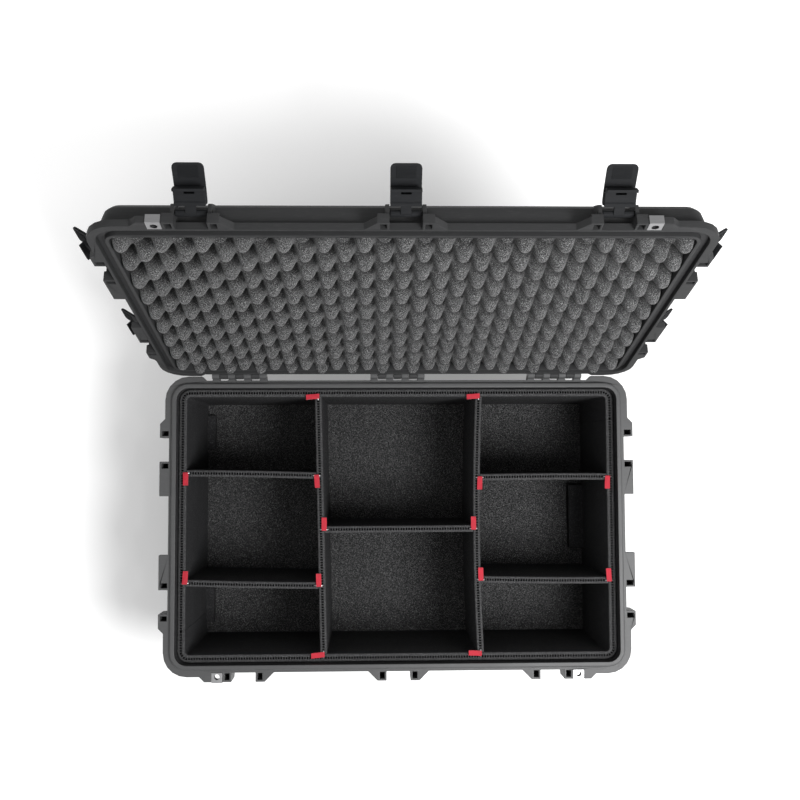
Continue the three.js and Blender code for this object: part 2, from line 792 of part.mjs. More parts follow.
function lidShell() {
  const lipTop = lidLow + grooveHeight + lipRoof;
  const cavity = lidLevels(lipTop, lidInnerEdge, lidCeiling, wall);
  const added = [
    stack(lidLevels(lidLow + flangeThickness / 2, lidEdge, lidTop, 0)),
    prism(flangeOutline(), lidLow, lidFlangeTop),
    ...stations.flatMap(lidEars),
    ...hingeCentres.flatMap((x) => knuckles(x, true)),
    ...stackRibs(),
  ];
  const groove = cutFrom(
    stack([[lidLow - overrun, grooveInset], [lidLow + grooveHeight, grooveInset]]),
    [stack([[lidLow - 2 * overrun, lipOuter], [lidLow + grooveHeight + overrun, lipOuter]])]);
  const removed = [
    stack([[lidLow - overrun, lipInner], [lipTop, lipInner], ...cavity]),
    groove,
    ...hingeBores,
    ...stations.flatMap((station) => earCells(station, lidLow - overrun, lidLow + lidCellRise)),
    ...stations.flatMap(trunnionBores),
    ...padlockStations().flatMap((station) => padlockCuts(station, lidLow, lidFlangeTop, -1)),
  ];
  return cutFrom(fuse(added), removed);
}

function lidGasket() {
  const top = lidLow + grooveHeight - seat;
  const low = top - gasketHeight;
  return cutFrom(
    stack([[low, grooveInset + seat], [top, grooveInset + seat]]),
    [stack([[low - overrun, lipOuter - seat], [top + overrun, lipOuter - seat]])]);
}

// Egg-crate foam: a wave in both directions on a flat back
function lidFoam() {
  const inset = lipInner + foamGap;
  const [spanX, spanY] = [2 * (halfLength - inset), 2 * (halfDepth - inset)];
  const cell = foamPitch / 2;
  const [countX, countY] = [Math.ceil(spanX / cell), Math.ceil(spanY / cell)];
  const peak = pinTop + foamClearance;
  const back = lidCeiling - seat;
  const point = (column, row) => {
    const x = (column - countX / 2) * cell;
    const y = (row - countY / 2) * cell;
    const wave = Math.cos((2 * Math.PI * x) / foamPitch) * Math.cos((2 * Math.PI * y) / foamPitch);
    return [x, y, peak + foamWave * (1 - wave)];
  };
  const raised = ([x, y]) => [x, y, back];
  const triangles = [];
  const rim = [];
  for (let column = 0; column < countX; column += 1) {
    for (let row = 0; row < countY; row += 1) {
      const corners = [[0, 0], [0, 1], [1, 1], [1, 0]].map(([right, up]) => point(column + right, row + up));
      const middle = point(column + 1 / 2, row + 1 / 2);
      corners.forEach((corner, index) => triangles.push(corner, corners[(index + 1) % corners.length], middle));
    }
  }
  for (let column = 0; column < countX; column += 1) rim.push(point(column, 0));
  for (let row = 0; row < countY; row += 1) rim.push(point(countX, row));
  for (let column = countX; column > 0; column -= 1) rim.push(point(column, countY));
  for (let row = countY; row > 0; row -= 1) rim.push(point(0, row));
  rim.forEach((start, index) => {
    const end = rim[(index + 1) % rim.length];
    triangles.push(start, end, raised(end), start, raised(end), raised(start));
    triangles.push(raised(start), raised(end), [0, 0, back]);
  });
  const sheet = new THREE.BufferGeometry();
  sheet.setAttribute("position", new THREE.Float32BufferAttribute(triangles.flat(), 3));
  const limit = stack([
    [peak - overrun, inset],
    ...lidLevels(lidLow + grooveHeight + lipRoof, lidInnerEdge, back, wall + foamGap)
      .slice(1).map(([z, level]) => [z, Math.max(level, inset)]),
  ]);
  return keepWithin(sheet, limit);
}

// Latch link about its pivot: barrel, trunnions, web, cross bar with the lever's pins, slotted plate and toe
function latchLink() {
  const toeTop = partingHeight - flangeThickness - toeSeat - pivotZ;
  const half = linkWidth / 2;
  const front = linkBack - linkPlate;
  const barTop = barRise - leverPivotDrop;
  const barLow = -leverPivotDrop - leverPinRadius;
  const web = [[front, 0], [linkBack, 0], [linkBack, barTop - overrun], [front, barTop - overrun]];
  const plate = [
    [front, barTop], [barBack, barTop], [barBack, barTop - barRise], [linkBack, barLow],
    [linkBack, toeTop], [toeReach, toeTop], [toeReach, toeTop - toeDepth], [front, toeTop - toeDepth]];
  const boss = [
    [linkBack, barLow], [-leverPivotOut, barLow], [-leverPivotOut, barLow + 2 * leverPinRadius],
    [linkBack, barLow + 2 * leverPinRadius]];
  const pinReach = latchWidth / 2 - seat;
  const trunnionEnd = stationGap / 2 + trunnionLength;
  const slotLow = toeTop + slotRise;
  const slot = block([-slotWidth / 2, front - overrun, slotLow],
    [slotWidth / 2, linkBack + overrun, slotLow + slotHeight]);
  const body = fuse([
    rodAlongX(barrelRadius, -latchWidth / 2, latchWidth / 2, 0, 0),
    rodAlongX(trunnionRadius, -trunnionEnd, trunnionEnd, 0, 0, pinSteps),
    barAlongX(web, -linkWeb / 2, linkWeb / 2),
    barAlongX(plate, -latchWidth / 2, latchWidth / 2),
    barAlongX(boss, -half, half),
    rodAlongX(leverPinRadius, -pinReach, pinReach, -leverPivotOut, -leverPivotDrop, pinSteps),
  ]);
  return cutFrom(body, [slot]);
}

// Latch lever about its pivot: a plate that leans in to its tip, and two cheeks on the link's pins
function latchLever() {
  const inner = leverPinRadius + seat;
  const outer = inner + leverPlate;
  const half = latchWidth / 2;
  const side = [
    [-inner, leverTop - leverPlate], [-outer, leverTop - leverPlate * 2], [-outer, -leverTop],
    [-outer + leverLean / 4, -leverKnee], [-outer + leverLean, -leverDrop],
    [-inner + leverLean, -leverDrop],
    [-inner + leverLean / 4, -leverKnee], [-inner, -leverTop]];
  const plan = [];
  const corner = leverTipRadius;
  for (let step = 0; step <= edgeSteps; step += 1) {
    const angle = ((step / edgeSteps) * Math.PI) / 2;
    plan.push([half - corner * (1 - Math.sin(angle)), -leverDrop + corner * (1 - Math.cos(angle))]);
  }
  const outline = [...plan, [half, leverTop], [-half, leverTop], ...plan.map(([x, z]) => [-x, z]).reverse()];
  const reach = outer + leverLean + wall;
  const panel = keepWithin(barAlongX(side, -half, half), barAlongY(outline, -reach, reach));
  const cheek = [
    [-inner - leverPlate / 2, leverTop / 2], [leverPinRadius, leverTop / 2], [wall / 2 + leverPinRadius, 0],
    [leverPinRadius, -cheekDrop], [-inner - leverPlate / 2, -cheekDrop * 2]];
  const cheeks = [-1, 1].map((hand) => {
    const [from, to] = span(hand, linkWidth / 2 + seat, half);
    return barAlongX(cheek, from, to);
  });
  return cutFrom(fuse([panel, ...cheeks]), [
    rodAlongX(leverPinRadius + seat, -half - overrun, half + overrun, 0, 0, pinSteps)]);
}

function pressureValve() {
  const face = -valveCollar;
  const profile = [
    [0, 0], [valveRadius, 0], [valveRadius, -face - overrun], [valveRadius - overrun, -face],
    [valveKnobRadius, -face], [valveKnobRadius, valveKnob - face - overrun],
    [valveKnobRadius - overrun, valveKnob - face], [0, valveKnob - face],
  ].map(([x, y]) => new THREE.Vector2(x, y));
  const wallFace = tubInset(valveHeight) - seat;
  return onSide("front", new THREE.LatheGeometry(profile, knuckleSteps)
    .rotateX(Math.PI).translate(valvePosition, wallFace, valveHeight));
}

// Divider liner
const padTop = floorTop + seat + padThickness;
const linerFoot = padTop + seat;

function interiorCuts() {
  const around = ([low, high], gap) =>
    block(low.map((value) => value - gap), high.map((value) => value + gap));
  const bulges = [[
    [pocketBack - wall, -pocketHalfWidth - wall, 0],
    [halfLength, pocketHalfWidth + wall, pocketHeight + wall]]];
  [-1, 1].forEach((hand) => bulges.push([
    [-halfLength, hand * wheelOffset - housingHalf, 0],
    [housingEnd, hand * wheelOffset + housingHalf, housingTop]]));
  return bulges.map((box) => around(box, dividerSeat));
}

function floorPad() {
  const whole = stack(tubLevels(floorTop + seat, cavityEdge, padTop, wall + dividerSeat)
    .filter(([z], index, all) => z < padTop || index === all.length - 1));
  return cutFrom(whole, interiorCuts());
}

function linerInset(z, extra) {
  return tubInset(z) + wall + linerGap + extra;
}

function linerRing() {
  const tube = (extra, past) => stack([
    [linerFoot - past, linerInset(linerFoot, extra)], [linerTop + past, linerInset(linerTop, extra)]], 1);
  return cutFrom(tube(0, 0), [tube(panelThickness, overrun)]);
}

// Plan of the half of the liner that runs along the front wall and up the right end
function frontHalf(gap) {
  const far = halfLength + overrun;
  return prism([
    [-far, -far], [far, -far], [far, seamPosition - gap], [0, seamPosition - gap],
    [0, -seamPosition - gap], [-far, -seamPosition - gap]], 0, partingHeight);
}

// A divider's plan: its centre line bows by a shallow parabola
function dividerPlan(from, to, bow) {
  const [start, end] = [new THREE.Vector2(...from), new THREE.Vector2(...to)];
  const across = end.clone().sub(start).normalize().rotateAround(new THREE.Vector2(), Math.PI / 2);
  const steps = bow ? bowSteps : 1;
  const edge = (shift) => Array.from({ length: steps + 1 }, (_, index) => {
    const share = index / steps;
    const offset = shift + 4 * bow * share * (1 - share);
    const point = start.clone().lerp(end, share).addScaledVector(across, offset);
    return [point.x, point.y];
  });
  return [...edge(-dividerThickness / 2), ...edge(dividerThickness / 2).reverse()];
}

const linerInside = stack([
  [linerFoot, linerInset(linerFoot, panelThickness + dividerSeat)],
  [linerTop, linerInset(linerTop, panelThickness + dividerSeat)]], 1);

const innerX = halfLength - linerInset(linerTop, panelThickness);
const innerY = halfDepth - linerInset(linerTop, panelThickness);
const edgeOfLong = dividerThickness / 2 + dividerSeat;

// A long divider's middle at a depth y, between its two ends: it bows by a shallow parabola
function longCentre({ rear, front, bow }, y) {
  const share = (y + innerY) / (2 * innerY);
  return front + (rear - front) * share - 4 * bow * share * (1 - share);
}

function longPlan(divider) {
  const edge = (shift) => Array.from({ length: longSteps + 1 }, (_, index) => {
    const y = halfDepth * ((2 * index) / longSteps - 1);
    return [longCentre(divider, y) + shift, y];
  });
  return [...edge(dividerThickness / 2), ...edge(-dividerThickness / 2).reverse()];
}

// Cross dividers: the bay each one spans, its ends as shares of the inner half depth, and its tags' direction
const bays = {
  left: (y) => [-innerX, longCentre(longDividers.left, y) - edgeOfLong],
  middle: (y) => [
    longCentre(longDividers.left, y) + edgeOfLong, longCentre(longDividers.right, y) - edgeOfLong],
  right: (y) => [longCentre(longDividers.right, y) + edgeOfLong, innerX],
};
const crossDividers = [
  { name: "left_rear", bay: "left", endShares: [0.403, 0.38], bow: dividerBow, tag: -1 },
  { name: "left_front", bay: "left", endShares: [-0.449, -0.475], bow: -dividerBow, tag: 1 },
  { name: "middle", bay: "middle", endShares: [-0.041, -0.039], bow: 0, tag: 1 },
  { name: "right_rear", bay: "right", endShares: [0.361, 0.363], bow: dividerBow, tag: -1 },
  { name: "right_front", bay: "right", endShares: [-0.436, -0.449], bow: -dividerBow, tag: 1 },
].map(({ bay, endShares, ...divider }) => {
  const [from, to] = endShares.map((share, index) => [bays[bay](share * innerY)[index], share * innerY]);
  return { ...divider, from, to };
});

// A pin joins the end of a divider to what it meets: its two legs stand on one line
const pins = [
  ...crossDividers.flatMap(({ from, to, tag }) => [
    { x: from[0] + pinSetback, y: from[1], towards: [-1, 0], tag: [0, tag] },
    { x: to[0] - pinSetback, y: to[1], towards: [1, 0], tag: [0, tag] },
  ]),
  ...Object.values(longDividers).flatMap((divider) => [-1, 1].map((hand) => {
    const y = hand * (innerY - pinSetback);
    return { x: longCentre(divider, y), y, towards: [0, hand], tag: [-1, 0] };
  })),
];

function pinLegs({ x, y, towards }) {
  return [[x, y], [x + towards[0] * pinSpan, y + towards[1] * pinSpan]];
}

const flutes = pins.flatMap(pinLegs).map(([x, y]) => {
  const bore = roundOutline(pinWireRadius + fluteClearance, wireSteps, x, y);
  return prism(bore, linerTop - pinDrop - seat, linerTop + overrun);
});

// A wire staple with its red ribbon, laid flat on the liner
function dividerPin(pin) {
  const [inner, outer] = pinLegs(pin);
  const legs = [inner, outer].map(([x, y]) =>
    prism(roundOutline(pinWireRadius, wireSteps, x, y), linerTop - pinDrop, pinTop - pinWireRadius / 2));
  const half = pinWireRadius * Math.SQRT1_2;
  const low = [Math.min(inner[0], outer[0]) - half, Math.min(inner[1], outer[1]) - half, linerTop + seat];
  const high = [Math.max(inner[0], outer[0]) + half, Math.max(inner[1], outer[1]) + half, pinTop];
  const [alongX, alongY] = pin.tag;
  const sidesOf = (middle, along, across) => (along
    ? span(along, -2 * pinWireRadius, tagLength - 2 * pinWireRadius, middle)
    : span(across, -tagWidth / 2, tagWidth / 2, middle));
  const [fromX, toX] = sidesOf((inner[0] + outer[0]) / 2, alongX, alongY);
  const [fromY, toY] = sidesOf((inner[1] + outer[1]) / 2, alongY, alongX);
  const ribbon = block([fromX, fromY, linerTop + seat], [toX, toY, linerTop + seat + tagThickness]);
  return fuse([...legs, block(low, high), ribbon]);
}

function dividerBody(plan) {
  const body = keepWithin(prism(plan, linerFoot, linerTop), linerInside);
  return cutFrom(body, [...flutes, ...interiorCuts()]);
}

// Wheels and their axles
function wheel(hand) {
  const half = wheelWidth / 2;
  const bore = axleRadius + seat * 2;
  const profile = [
    [bore, -half], [hubRadius, -half], [hubRadius, -half + hubRecess],
    [wheelRadius - hubRecess, -half + hubRecess], [wheelRadius - tyreChamfer, -half],
    [wheelRadius, -half + tyreChamfer], [wheelRadius, half - tyreChamfer],
    [wheelRadius - tyreChamfer, half], [wheelRadius - hubRecess, half - hubRecess],
    [hubRadius, half - hubRecess], [hubRadius, half], [bore, half], [bore, -half],
  ].map(([x, y]) => new THREE.Vector2(x, y));
  return new THREE.LatheGeometry(profile, wheelSteps).translate(wheelX, hand * wheelOffset, wheelZ);
}

// Pull handle: two tubes that slide in a channel under the floor, and a grip across them
const gripFace = halfLength - gripSetback;
const gripBack = gripFace - gripBar - gripArm;

function tubeRod(radius, from, to, hand) {
  return rodAlongX(radius, from, to, hand * pullTubeOffset, pullTubeHeight);
}

function handleChannel() {
  const top = floorHeight - seat;
  const end = pocketBack - overrun;
  const body = block([channelStart, -channelHalfWidth, channelFoot], [end, channelHalfWidth, top]);
  const middle = pullTubeOffset - pullTubeRadius - housingWall;
  const relief = block(
    [channelStart - overrun, -middle, channelFoot - overrun], [end + overrun, middle, top - channelWeb]);
  return cutFrom(body, [
    relief,
    tubeRod(pullTubeRadius + seat, pullTubeStart - seat, end + overrun, -1),
    tubeRod(pullTubeRadius + seat, pullTubeStart - seat, end + overrun, 1)]);
}

function pullGrip() {
  const bar = barAlongY([
    [gripFace - gripBar, gripFoot], [gripFace - tyreChamfer, gripFoot], [gripFace, gripFoot + tyreChamfer],
    [gripFace, gripFoot + gripHeight - tyreChamfer], [gripFace - tyreChamfer, gripFoot + gripHeight],
    [gripFace - gripBar, gripFoot + gripHeight]], -gripHalfWidth, gripHalfWidth);
  const armHalf = gripArmWidth / 2;
  const arms = [-1, 1].map((hand) => block(
    [gripBack, hand * pullTubeOffset - armHalf, pullTubeHeight - armHalf],
    [gripFace - gripBar + overrun, hand * pullTubeOffset + armHalf, pullTubeHeight + armHalf]));
  const sockets = [-1, 1].map((hand) =>
    tubeRod(pullTubeRadius + seat, gripBack - overrun, gripFace - gripBar + seat, hand));
  return cutFrom(fuse([bar, ...arms]), sockets);
}

// Assembly
const assembly = new THREE.Group();

function addPiece(parent, name, geometry, material) {
  const mesh = new THREE.Mesh(geometry, material);
  mesh.name = name;
  parent.add(mesh);
}

function sideGroup(parent, side) {
  const group = new THREE.Group();
  group.applyMatrix4(sideMatrix(side));
  parent.add(group);
  return group;
}

addPiece(assembly, "base_shell", baseShell(), shellGrey);
addPiece(assembly, "floor_pad", floorPad(), linerBlack);

const linerSolid = cutFrom(linerRing(), [...flutes, ...interiorCuts()]);
addPiece(assembly, "liner_panel_front", keepWithin(linerSolid, frontHalf(panelSeam / 2)), linerBlack);
addPiece(assembly, "liner_panel_rear", cutFrom(linerSolid, [frontHalf(-panelSeam / 2)]), linerBlack);

Object.entries(longDividers).forEach(([name, divider]) => {
  addPiece(assembly, `long_divider_${name}`, dividerBody(longPlan(divider)), linerBlack);
});
crossDividers.forEach(({ name, from, to, bow }) => {
  addPiece(assembly, `cross_divider_${name}`, dividerBody(dividerPlan(from, to, bow)), linerBlack);
});
pins.forEach((pin, index) => {
  addPiece(assembly, `divider_pin_${index + 1}`, dividerPin(pin), tagRed);
});

hingeCentres.forEach((x, index) => {
  const pin = rodAlongX(hingePinRadius, x - knuckleRow / 2, x + knuckleRow / 2, hingeY, hingeZ, pinSteps);
  addPiece(assembly, `hinge_pin_${["left", "middle", "right"][index]}`, pin, brightSteel);
});
addPiece(assembly, "pressure_valve", pressureValve(), latchBlack);
padlockStations().forEach((station) => {
  const plate = padlockPlate(station, partingHeight - flangeThickness, partingHeight, 1);
  addPiece(assembly, `base_padlock_plate_${station.name.replace("front_", "")}`, plate, brightSteel);
});

addPiece(assembly, "handle_channel", handleChannel(), handleBlack);
addPiece(assembly, "pull_grip", pullGrip(), handleBlack);
[["front", -1], ["rear", 1]].forEach(([name, hand]) => {
  const tube = tubeRod(pullTubeRadius, pullTubeStart, gripFace - gripBar, hand);
  addPiece(assembly, `pull_tube_${name}`, tube, brightSteel);
  addPiece(assembly, `wheel_${name}`, wheel(hand), rubberBlack);
  addPiece(assembly, `wheel_axle_${name}`, rodAtWheel(axleRadius, axleHalf, hand, knuckleSteps), brightSteel);
});

[
  ["front_handle", "front", frontHandleHalf],
  ["end_handle", "right", endHandleHalf],
].forEach(([name, side, half]) => {
  const pivot = new THREE.Group();
  pivot.position.set(0, handleOut, handlePivotHeight);
  sideGroup(assembly, side).add(pivot);
  addPiece(pivot, name, foldingHandle(half), handleBlack);
});

// The lid turns about the hinge pins, and each latch about its trunnions
const lidHinge = new THREE.Group();
lidHinge.position.set(0, hingeY, hingeZ);
lidHinge.rotation.x = THREE.MathUtils.degToRad(-lidOpenAngle);
assembly.add(lidHinge);
const lid = new THREE.Group();
lid.position.set(0, -hingeY, -hingeZ);
lidHinge.add(lid);

addPiece(lid, "lid_shell", lidShell(), lidGrey);
addPiece(lid, "lid_gasket", lidGasket(), rubberBlack);
addPiece(lid, "lid_foam", lidFoam(), foamCharcoal);
padlockStations().forEach((station) => {
  const plate = padlockPlate(station, lidLow, lidFlangeTop, -1);
  addPiece(lid, `lid_padlock_plate_${station.name.replace("front_", "")}`, plate, brightSteel);
});

stations.forEach(({ name, side, at }) => {
  const link = new THREE.Group();
  link.position.set(at, 0, pivotZ);
  link.rotation.x = THREE.MathUtils.degToRad(-latchThrow);
  sideGroup(lid, side).add(link);
  addPiece(link, `latch_link_${name}`, latchLink(), latchBlack);
  const lever = new THREE.Group();
  lever.position.set(0, -leverPivotOut, -leverPivotDrop);
  link.add(lever);
  addPiece(lever, `latch_lever_${name}`, latchLever(), latchBlack);
});

export default assembly;
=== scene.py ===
import json
import math
import random
import bmesh
import bpy
from mathutils import Matrix, Vector

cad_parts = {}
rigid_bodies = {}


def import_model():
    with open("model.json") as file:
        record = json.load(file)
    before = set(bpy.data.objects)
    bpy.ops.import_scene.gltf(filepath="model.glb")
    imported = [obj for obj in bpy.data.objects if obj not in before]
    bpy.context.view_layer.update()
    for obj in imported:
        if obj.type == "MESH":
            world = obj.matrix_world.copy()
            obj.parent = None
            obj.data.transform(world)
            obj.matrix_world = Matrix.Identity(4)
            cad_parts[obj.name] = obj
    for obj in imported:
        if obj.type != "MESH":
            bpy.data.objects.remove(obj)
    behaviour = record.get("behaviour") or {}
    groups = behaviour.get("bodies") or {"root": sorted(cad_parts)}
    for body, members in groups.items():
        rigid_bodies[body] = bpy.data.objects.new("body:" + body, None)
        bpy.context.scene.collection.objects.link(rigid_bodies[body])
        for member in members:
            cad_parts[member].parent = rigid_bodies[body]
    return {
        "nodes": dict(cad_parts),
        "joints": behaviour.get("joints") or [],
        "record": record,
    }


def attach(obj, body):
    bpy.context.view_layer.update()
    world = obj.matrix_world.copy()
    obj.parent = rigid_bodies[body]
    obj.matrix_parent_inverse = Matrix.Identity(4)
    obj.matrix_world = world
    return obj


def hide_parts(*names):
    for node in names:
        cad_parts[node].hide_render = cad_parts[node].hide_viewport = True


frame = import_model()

# The start file's own objects go, so that only the case is measured
for startItem in [item for item in bpy.data.objects if item.name in ("Cube", "Light", "Camera")]:
    bpy.data.objects.remove(startItem)
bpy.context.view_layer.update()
scene = bpy.context.scene
nodeBody = {
    node: body
    for body, nodes in frame["record"]["behaviour"]["bodies"].items()
    for node in nodes
}
joints = {joint["name"]: joint for joint in frame["joints"]}
hingePlace = Vector(joints["lid_hinge"]["pos_m"])
lidAngle = math.radians(joints["lid_hinge"]["range_deg"][1])
openLid = (Matrix.Translation(hingePlace) @ Matrix.Rotation(-lidAngle, 4, "X")
           @ Matrix.Translation(-hingePlace))
print("frame loaded:", len(frame["nodes"]), "nodes")

# Camera at the photograph's place, looking down into the open base
cameraView = {
    "place": (-0.0371, 0.1115, 1.8833),
    "turn": (3.472, -1.442, -0.229),  # degrees about x, y and z
    "focalPixels": 958.3,
    "frameSide": 800,  # the photograph's side in pixels
    "sensor": 36.0,
    "clipEnd": 30,
}


def addCamera(v):
    bpy.ops.object.camera_add(location=v["place"], rotation=[math.radians(a) for a in v["turn"]])
    camera = bpy.context.object
    camera.name = "photoCamera"
    camera.data.sensor_width = v["sensor"]
    camera.data.lens = v["focalPixels"] / v["frameSide"] * v["sensor"]
    camera.data.clip_end = v["clipEnd"]
    scene.camera = camera


addCamera(cameraView)
print("camera set")


# Small helpers
def deselectAll():
    for item in bpy.context.selected_objects:
        item.select_set(False)


def makeActive(piece):
    deselectAll()
    piece.select_set(True)
    bpy.context.view_layer.objects.active = piece


def applyModifiers(piece):
    makeActive(piece)
    for modifier in list(piece.modifiers):
        bpy.ops.object.modifier_apply(modifier=modifier.name)


def smoothByAngle(piece, degrees):
    makeActive(piece)
    bpy.ops.object.shade_smooth_by_angle(angle=math.radians(degrees))


def meshPiece(name, points, faces, faceMaterials=None):
    mesh = bpy.data.meshes.new(name)
    mesh.from_pydata(points, [], faces)
    mesh.update()
    if faceMaterials:
        mesh.polygons.foreach_set("material_index", faceMaterials)
    piece = bpy.data.objects.new(name, mesh)
    scene.collection.objects.link(piece)
    return piece


def faceOutwards(piece):
    makeActive(piece)
    bpy.ops.object.mode_set(mode="EDIT")
    bpy.ops.mesh.select_all(action="SELECT")
    bpy.ops.mesh.normals_make_consistent(inside=False)
    bpy.ops.object.mode_set(mode="OBJECT")


def dress(piece, node, slot, *materials):
    for material in materials:
        piece.data.materials.append(material)
    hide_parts(node)
    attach(piece, nodeBody[node])


# Shader groups shared by the materials
def newGroup(name, inputs, outputs):
    group = bpy.data.node_groups.new(name, "ShaderNodeTree")
    for label, value in inputs.items():
        socket = group.interface.new_socket(name=label, in_out="INPUT", socket_type="NodeSocketFloat")
        socket.default_value = value
    for label in outputs:
        group.interface.new_socket(name=label, in_out="OUTPUT", socket_type="NodeSocketFloat")
    inside = group.nodes.new("NodeGroupInput")
    outside = group.nodes.new("NodeGroupOutput")
    return group, inside, outside, group.nodes.new("ShaderNodeTexCoord").outputs["Object"]


def mathNode(tree, operation, first, second=0.5):
    node = tree.nodes.new("ShaderNodeMath")
    node.operation = operation
    for socket, value in zip(node.inputs, (first, second)):
        if isinstance(value, (int, float)):
            socket.default_value = value
        else:
            tree.links.new(value, socket)
    return node.outputs[0]


def noiseNode(tree, coordinates, scale, detail, roughness=0.5):
    node = tree.nodes.new("ShaderNodeTexNoise")
    node.inputs["Detail"].default_value = detail
    node.inputs["Roughness"].default_value = roughness
    tree.links.new(coordinates, node.inputs["Vector"])
    if isinstance(scale, (int, float)):
        node.inputs["Scale"].default_value = scale
    else:
        tree.links.new(scale, node.inputs["Scale"])
    return node.outputs["Fac"]


def buildGrainGroup(v):
    group, inside, outside, coordinates = newGroup("mouldGrain", {"Scale": v["scale"]}, ["Height"])
    cells = group.nodes.new("ShaderNodeTexVoronoi")
    cells.feature = "SMOOTH_F1"
    group.links.new(coordinates, cells.inputs["Vector"])
    group.links.new(inside.outputs["Scale"], cells.inputs["Scale"])
    finer = mathNode(group, "MULTIPLY", inside.outputs["Scale"], v["gritFiner"])
    grit = noiseNode(group, coordinates, finer, v["gritDetail"], v["gritRoughness"])
    group.links.new(mathNode(group, "ADD", cells.outputs["Distance"], grit), outside.inputs["Height"])
    return group


def buildScuffGroup(v):
    group, inside, outside, coordinates = newGroup(
        "scuffing", {"Scale": v["scale"], "Amount": v["amount"]}, ["Mask", "Cloud"])
    cloud = noiseNode(group, coordinates, inside.outputs["Scale"], v["cloudDetail"], v["cloudRoughness"])
    stretch = group.nodes.new("ShaderNodeMapping")
    stretch.inputs["Scale"].default_value = v["lineStretch"]
    stretch.inputs["Rotation"].default_value = v["lineTurn"]
    group.links.new(coordinates, stretch.inputs["Vector"])
    lines = noiseNode(group, stretch.outputs["Vector"], v["lineScale"], v["lineDetail"], v["lineRoughness"])
    sharp = mathNode(group, "POWER", lines, v["lineSharpness"])
    strong = mathNode(group, "MULTIPLY", sharp, inside.outputs["Amount"])
    mask = mathNode(group, "MULTIPLY", strong, cloud)
    mask.node.use_clamp = True
    group.links.new(mathNode(group, "MULTIPLY", mask, v["maskGain"]), outside.inputs["Mask"])
    group.links.new(cloud, outside.inputs["Cloud"])
    return group


def buildSpeckleGroup(v):
    group, inside, outside, coordinates = newGroup(
        "speckle", {"Scale": v["scale"], "Threshold": v["threshold"], "Sharpness": v["sharpness"]},
        ["Flecks", "Tone"])
    fine = noiseNode(group, coordinates, inside.outputs["Scale"], v["fleckDetail"], v["fleckRoughness"])
    above = mathNode(group, "SUBTRACT", fine, inside.outputs["Threshold"])
    flecks = mathNode(group, "MULTIPLY", above, inside.outputs["Sharpness"])
    flecks.node.use_clamp = True
    group.links.new(flecks, outside.inputs["Flecks"])
    coarser = mathNode(group, "MULTIPLY", inside.outputs["Scale"], v["toneCoarser"])
    group.links.new(noiseNode(group, coordinates, coarser, v["toneDetail"]), outside.inputs["Tone"])
    return group


def buildWeaveGroup(v):
    group, inside, outside, coordinates = newGroup("ribbonWeave", {"Scale": v["scale"]}, ["Height"])
    split = group.nodes.new("ShaderNodeSeparateXYZ")
    group.links.new(coordinates, split.inputs["Vector"])
    waves = []
    for axis in ("X", "Y"):
        turns = mathNode(group, "MULTIPLY", split.outputs[axis], inside.outputs["Scale"])
        waves.append(mathNode(group, "SINE", turns))
    group.links.new(mathNode(group, "MULTIPLY", *waves), outside.inputs["Height"])
    return group


# Scales are in cells to the metre, and the weave's is in radians to the metre
groups = {
    "grain": buildGrainGroup({
        "scale": 900.0,
        "gritFiner": 2.3,
        "gritDetail": 3.0,
        "gritRoughness": 0.6,
    }),
    "scuff": buildScuffGroup({
        "scale": 9.0,
        "amount": 0.5,
        "cloudDetail": 4.0,
        "cloudRoughness": 0.55,
        "lineStretch": (1.0, 9.0, 4.0),
        "lineTurn": (0.3, 0.5, 0.4),
        "lineScale": 70.0,
        "lineDetail": 5.0,
        "lineRoughness": 0.7,
        "lineSharpness": 7.0,
        "maskGain": 14.0,
    }),
    "speckle": buildSpeckleGroup({
        "scale": 700.0,
        "threshold": 0.62,
        "sharpness": 14.0,
        "fleckDetail": 2.0,
        "fleckRoughness": 0.6,
        "toneCoarser": 0.02,
        "toneDetail": 3.0,
    }),
    "weave": buildWeaveGroup({"scale": 5200.0}),
}


def placeGroup(tree, key, **values):
    node = tree.nodes.new("ShaderNodeGroup")
    node.node_tree = groups[key]
    for label, value in values.items():
        node.inputs[label].default_value = value
    return node


def startMaterial(name, roughness, metallic=0.0, specular=0.5):
    material = bpy.data.materials.new(name)
    material.use_nodes = True
    shader = material.node_tree.nodes["Principled BSDF"]
    shader.inputs["Roughness"].default_value = roughness
    shader.inputs["Metallic"].default_value = metallic
    shader.inputs["Specular IOR Level"].default_value = specular
    return material, material.node_tree, shader


def blendColours(tree, factor, low, high, socket):
    mix = tree.nodes.new("ShaderNodeMix")
    mix.data_type = "RGBA"
    mix.inputs["A"].default_value = (*low, 1.0)
    mix.inputs["B"].default_value = (*high, 1.0)
    tree.links.new(factor, mix.inputs["Factor"])
    tree.links.new(mix.outputs["Result"], socket)


def spreadValue(tree, factor, low, high, socket):
    spread = tree.nodes.new("ShaderNodeMapRange")
    spread.inputs["To Min"].default_value = low
    spread.inputs["To Max"].default_value = high
    tree.links.new(factor, spread.inputs["Value"])
    tree.links.new(spread.outputs["Result"], socket)


def addBump(tree, shader, height, strength, distance):
    bump = tree.nodes.new("ShaderNodeBump")
    bump.inputs["Strength"].default_value = strength
    bump.inputs["Distance"].default_value = distance
    tree.links.new(height, bump.inputs["Height"])
    tree.links.new(bump.outputs["Normal"], shader.inputs["Normal"])


# Moulded plastic: a fine grain, clouded roughness and faint pale scuffs
plasticSurface = {"scuffAmount": 0.5, "specular": 0.4, "roughSpread": 0.1, "grainDepth": 0.0002}


